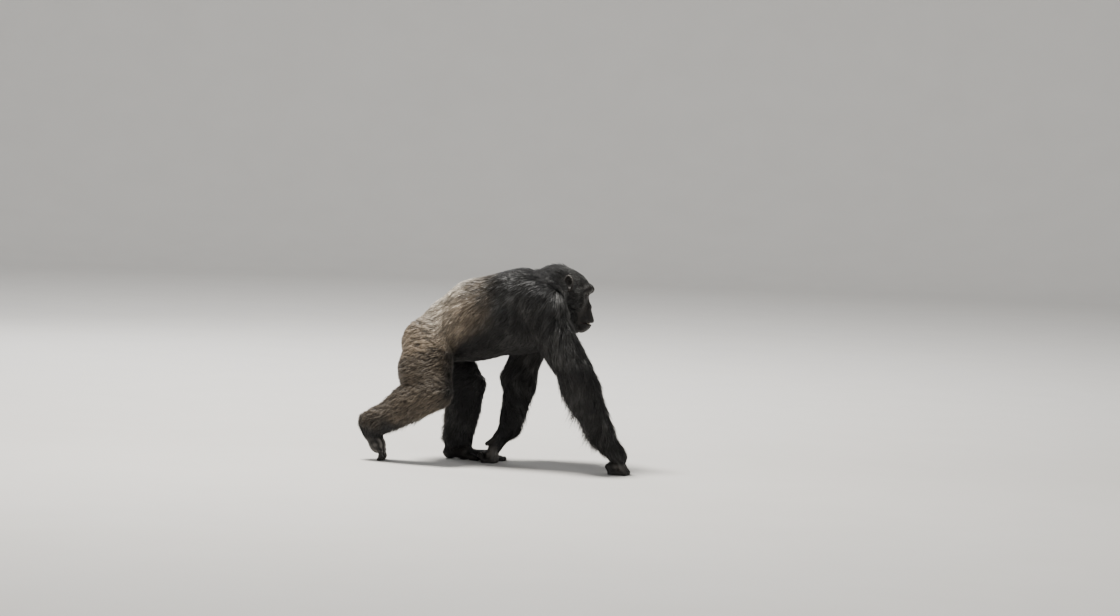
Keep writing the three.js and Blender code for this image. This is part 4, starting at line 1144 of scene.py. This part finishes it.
def tufts_on(p, lie, coat, wavy):
    """Tufts of hair: each bends along the skin, is widest in the middle and ends in a point."""
    depth = coat_depth(p)
    keep = (depth > 0.8) & (np.abs(near_value(p)) < 2.0)
    p, lie, depth = p[keep], lie[keep], depth[keep]
    if len(p) > MOST_TUFTS:
        pick = np.sort(rng.permutation(len(p))[:MOST_TUFTS])
        p, lie, depth = p[pick], lie[pick], depth[pick]
    count = len(p)
    short = np.clip(depth / 9, 0.22, 1.5)
    long = coat["long"] * short * rng.uniform(0.7, 1.25, count)
    places, outs = walk(p, lie, long, rng.normal(0, 0.22, count))
    lock, lock_path, lock_rise, lock_tone = locks_among(p, lie, long)
    ridge = crimp(p) if wavy else np.ones(count)
    rise = rng.uniform(0.65, 1.15, count) * lock_rise[lock] * (0.62 + 0.42 * ridge if wavy else 1)
    shaggy = ramp(depth, 12, 24)
    rise = rise * (1 + shaggy * 1.1 * (lock_rise[lock] - 1))
    gather = coat["gather"] + (0.95 - coat["gather"]) * shaggy
    normal = out_of(p)
    rings = [(p - normal * ROOT_DEPTH, normal, flat_to(lie, normal), ROOT_WIDE)]
    for place, out, path, ring in zip(places, outs, lock_path, RINGS):
        pull = path[lock] - place
        way = flat_to(lie, out)
        pull -= dot(pull, way)[:, None] * way
        pull -= dot(pull, out)[:, None] * out
        here = place + pull * (gather * ring["at"] ** 1.5 * np.clip(short, 0, 1))[:, None]
        up = out_of(here)
        here = here - near_value(here)[:, None] * up
        lift = between(ring["sleek"], ring["shaggy"], shaggy) * coat_depth(here) * rise
        lift = np.maximum(lift, ring["least"])
        rings.append((here + up * lift[:, None], up, way, ring["wide"]))
    wide = coat["wide"] * np.clip(short, 0.45, 1.1) * rng.uniform(0.7, 1.3, count) / 2
    mixed = 0.6 * lock_tone[lock] + 0.4 * rng.random(count)
    # In wavy hair the tone is darker in the furrows between the ridges: painted shade, over each lock's and
    # tuft's own tone.
    tone = np.clip(0.5 * mixed + 0.6 * ridge - 0.15 if wavy else mixed, 0, 1)
    corners, along = [], []
    for (centre, up, way, share), at in zip(rings, (0, *[ring["at"] for ring in RINGS])):
        side, w = np.cross(up, way), (wide * share)[:, None]
        found = [centre - side * w - up * w * 0.15, centre + side * w - up * w * 0.15, centre + up * w * 0.55]
        corners += found if share > 0 else [centre]
        along += [np.full(count, at)] * (3 if share > 0 else 1)
    corners = np.stack(corners, 1)
    corners[:, :, Z] = np.maximum(corners[:, :, Z], FLOOR + 0.5)
    size = corners.shape[1]
    marks = {"tone": np.repeat(tone, size), "along": np.stack(along, 1).ravel()}
    return p, corners.reshape(-1, 3), tuft_faces(count, size), marks, size


STRIPS = 8  # on the map


def unrolled_around(part):
    """The two ends of the line that a part of the coat is unrolled around, and its strip of the map."""
    side = part.rsplit("_", 1)[-1]
    if part.startswith(("upper_arm", "forearm")):
        return ARMS[side]["shoulder"], ARMS[side]["knuckles"], 2 if side == "right" else 3
    if part.startswith("thigh"):
        return LEGS[side]["hip"] + V(0, 0, 60), LEGS[side]["knee"], 4 if side == "right" else 5
    if part.startswith("shank"):
        return LEGS[side]["knee"], LEGS[side]["pad"], 6 if side == "right" else 7
    if part == "head":
        return V(170, 0, 740), V(300, 0, 500), 1
    return V(-360, 0, 430), V(240, 0, 600), 0


def unwrap(p, part):
    """A root's place on an unwrap of the skin: along and around its own part, each part in its own strip."""
    a, b, strip = unrolled_around(part)
    axis = unit(b - a)
    across = unit(np.cross(axis, V(0, 1, 0.01)))
    q = p - a
    t = (q @ axis) / np.linalg.norm(b - a)
    turn = np.arctan2(q @ np.cross(axis, across), q @ across) / (2 * math.pi) + 0.5
    u = (strip + 0.03 + 0.94 * np.clip(turn, 0, 1)) / STRIPS
    return np.stack([u, 0.02 + 0.96 * np.clip(0.1 + 0.8 * t, 0, 1)], -1)


def add_bake_map(obj, roots, size, faces, part):
    """Each tuft's patch on the map, about 0.003 across, at its root's place on the unwrapped skin."""
    within = np.arange(len(roots) * size) % size
    row = np.minimum(within // 3, 3)
    offset = np.stack([((within % 3) - 1) * np.where(within < 9, 0.0014, 0), row * 0.001 - 0.0015], -1)
    uv = np.repeat(unwrap(roots, part), size, 0) + offset
    layer = obj.data.uv_layers.new(name="OFBake")
    layer.data.foreach_set("uv", uv[faces.ravel()].astype(np.float32).ravel())


body_roots = roots_on(*shells["body"], MOST_DENSE)
head_roots = roots_on(*shells["head"], COATS["head"]["dense"])
paw_roots = [roots_on(*shells[name], MOST_DENSE) for name in PAWS]
all_roots = np.concatenate([body_roots, head_roots, *paw_roots])
lies, parts = lie_at(all_roots)
on_head_shell = np.zeros(len(all_roots), bool)
on_head_shell[len(body_roots):len(body_roots) + len(head_roots)] = True
parts[on_head_shell] = "head"
for part in sorted(set(parts)):
    kind = part.removesuffix("_right").removesuffix("_left")
    coat = COATS[kind]
    chosen = (parts == part) & (on_head_shell | (rng.random(len(parts)) < coat["dense"] / MOST_DENSE))
    roots, corners, faces, marks, size = tufts_on(all_roots[chosen], lies[chosen], coat,
                                                  kind in ("thigh", "shank", "pelvis"))
    add_bake_map(piece(f"coat_{part}", corners, faces, hair, marks), roots, size, faces, part)


# Floor, light and camera

FLOOR_REACH, FLOOR_CURVE, FLOOR_TOP, FLOOR_SIDES = 13.0, 4.0, 9.0, 64
turns = np.linspace(0, math.pi / 2, 12)
rim = [(FLOOR_REACH + FLOOR_CURVE * math.sin(t), FLOOR_CURVE * (1 - math.cos(t))) for t in turns]
rim = [(0.0, 0.0), *rim, (FLOOR_REACH + FLOOR_CURVE, FLOOR_TOP)]
ring = [(r * math.cos(a), r * math.sin(a), height) for r, height in rim
        for a in np.linspace(0, 2 * math.pi, FLOOR_SIDES, endpoint=False)]
quads = []
for low in range(0, (len(rim) - 1) * FLOOR_SIDES, FLOOR_SIDES):
    for k in range(FLOOR_SIDES):
        after = (k + 1) % FLOOR_SIDES
        quads.append((low + k, low + after, low + FLOOR_SIDES + after, low + FLOOR_SIDES + k))
mesh = bpy.data.meshes.new("studio_floor")
mesh.from_pydata(ring, [], quads)
mesh.polygons.foreach_set("use_smooth", np.ones(len(quads), bool))
mesh.materials.append(floor_finish)
floor = bpy.data.objects.new("studio_floor", mesh)
bpy.context.scene.collection.objects.link(floor)


def soft_light(name, place, size, power, colour=(1, 1, 1), aim=(0, 0, 0.4)):
    light = bpy.data.lights.new(name, "AREA")
    light.shape, light.size, light.energy, light.color = "DISK", size, power, colour
    obj = bpy.data.objects.new(name, light)
    obj.location = place
    obj.rotation_euler = (Vector(aim) - Vector(place)).to_track_quat("-Z", "Y").to_euler()
    bpy.context.scene.collection.objects.link(obj)


soft_light("overhead_key", (-1.3, -0.2, 5.0), 1.6, 720, (1, 0.97, 0.92))
soft_light("camera_fill", (3.5, -6.0, 3.2), 3.0, 115, (0.95, 0.98, 1))
soft_light("rear_fill", (-4.5, 4.5, 3.0), 3.0, 110)
soft_light("backdrop_wash", (-1.5, 3.0, 6.5), 6.0, 1100, aim=(-3.0, 15.0, 1.5))

world = bpy.data.worlds.new("studio")
world.use_nodes = True
background = world.node_tree.nodes["Background"]
background.inputs["Color"].default_value = (0.95, 0.97, 1, 1)
background.inputs["Strength"].default_value = 0.29
bpy.context.scene.world = world

PHOTO_WIDTH, FOCAL_LENGTH, HORIZON_RISE = 1120, 3300, 200  # in pixels
CAMERA_PLACE = V(2752, -11882, 1320)
YAW, PITCH, ROLL = math.radians(12), math.atan(HORIZON_RISE / FOCAL_LENGTH), math.radians(2)
SENSOR = 36  # millimetres
right = V(math.cos(YAW), math.sin(YAW), 0)
ahead = V(-math.sin(YAW), math.cos(YAW), 0)
up = V(0, 0, 1)
forward = math.cos(PITCH) * ahead - math.sin(PITCH) * up
level_up = math.sin(PITCH) * ahead + math.cos(PITCH) * up
camera_right = math.cos(ROLL) * right + math.sin(ROLL) * level_up
camera_up = -math.sin(ROLL) * right + math.cos(ROLL) * level_up
camera = bpy.data.objects.new("photo_camera", bpy.data.cameras.new("photo_camera"))
camera.data.sensor_width = SENSOR
camera.data.lens = SENSOR * FOCAL_LENGTH / PHOTO_WIDTH
camera.data.clip_end = 100
placed = np.eye(4)
placed[:3] = np.stack([camera_right, camera_up, -forward, to_scene(CAMERA_PLACE)], 1)
camera.matrix_world = Matrix(placed.tolist())
bpy.context.scene.collection.objects.link(camera)
bpy.context.scene.camera = camera
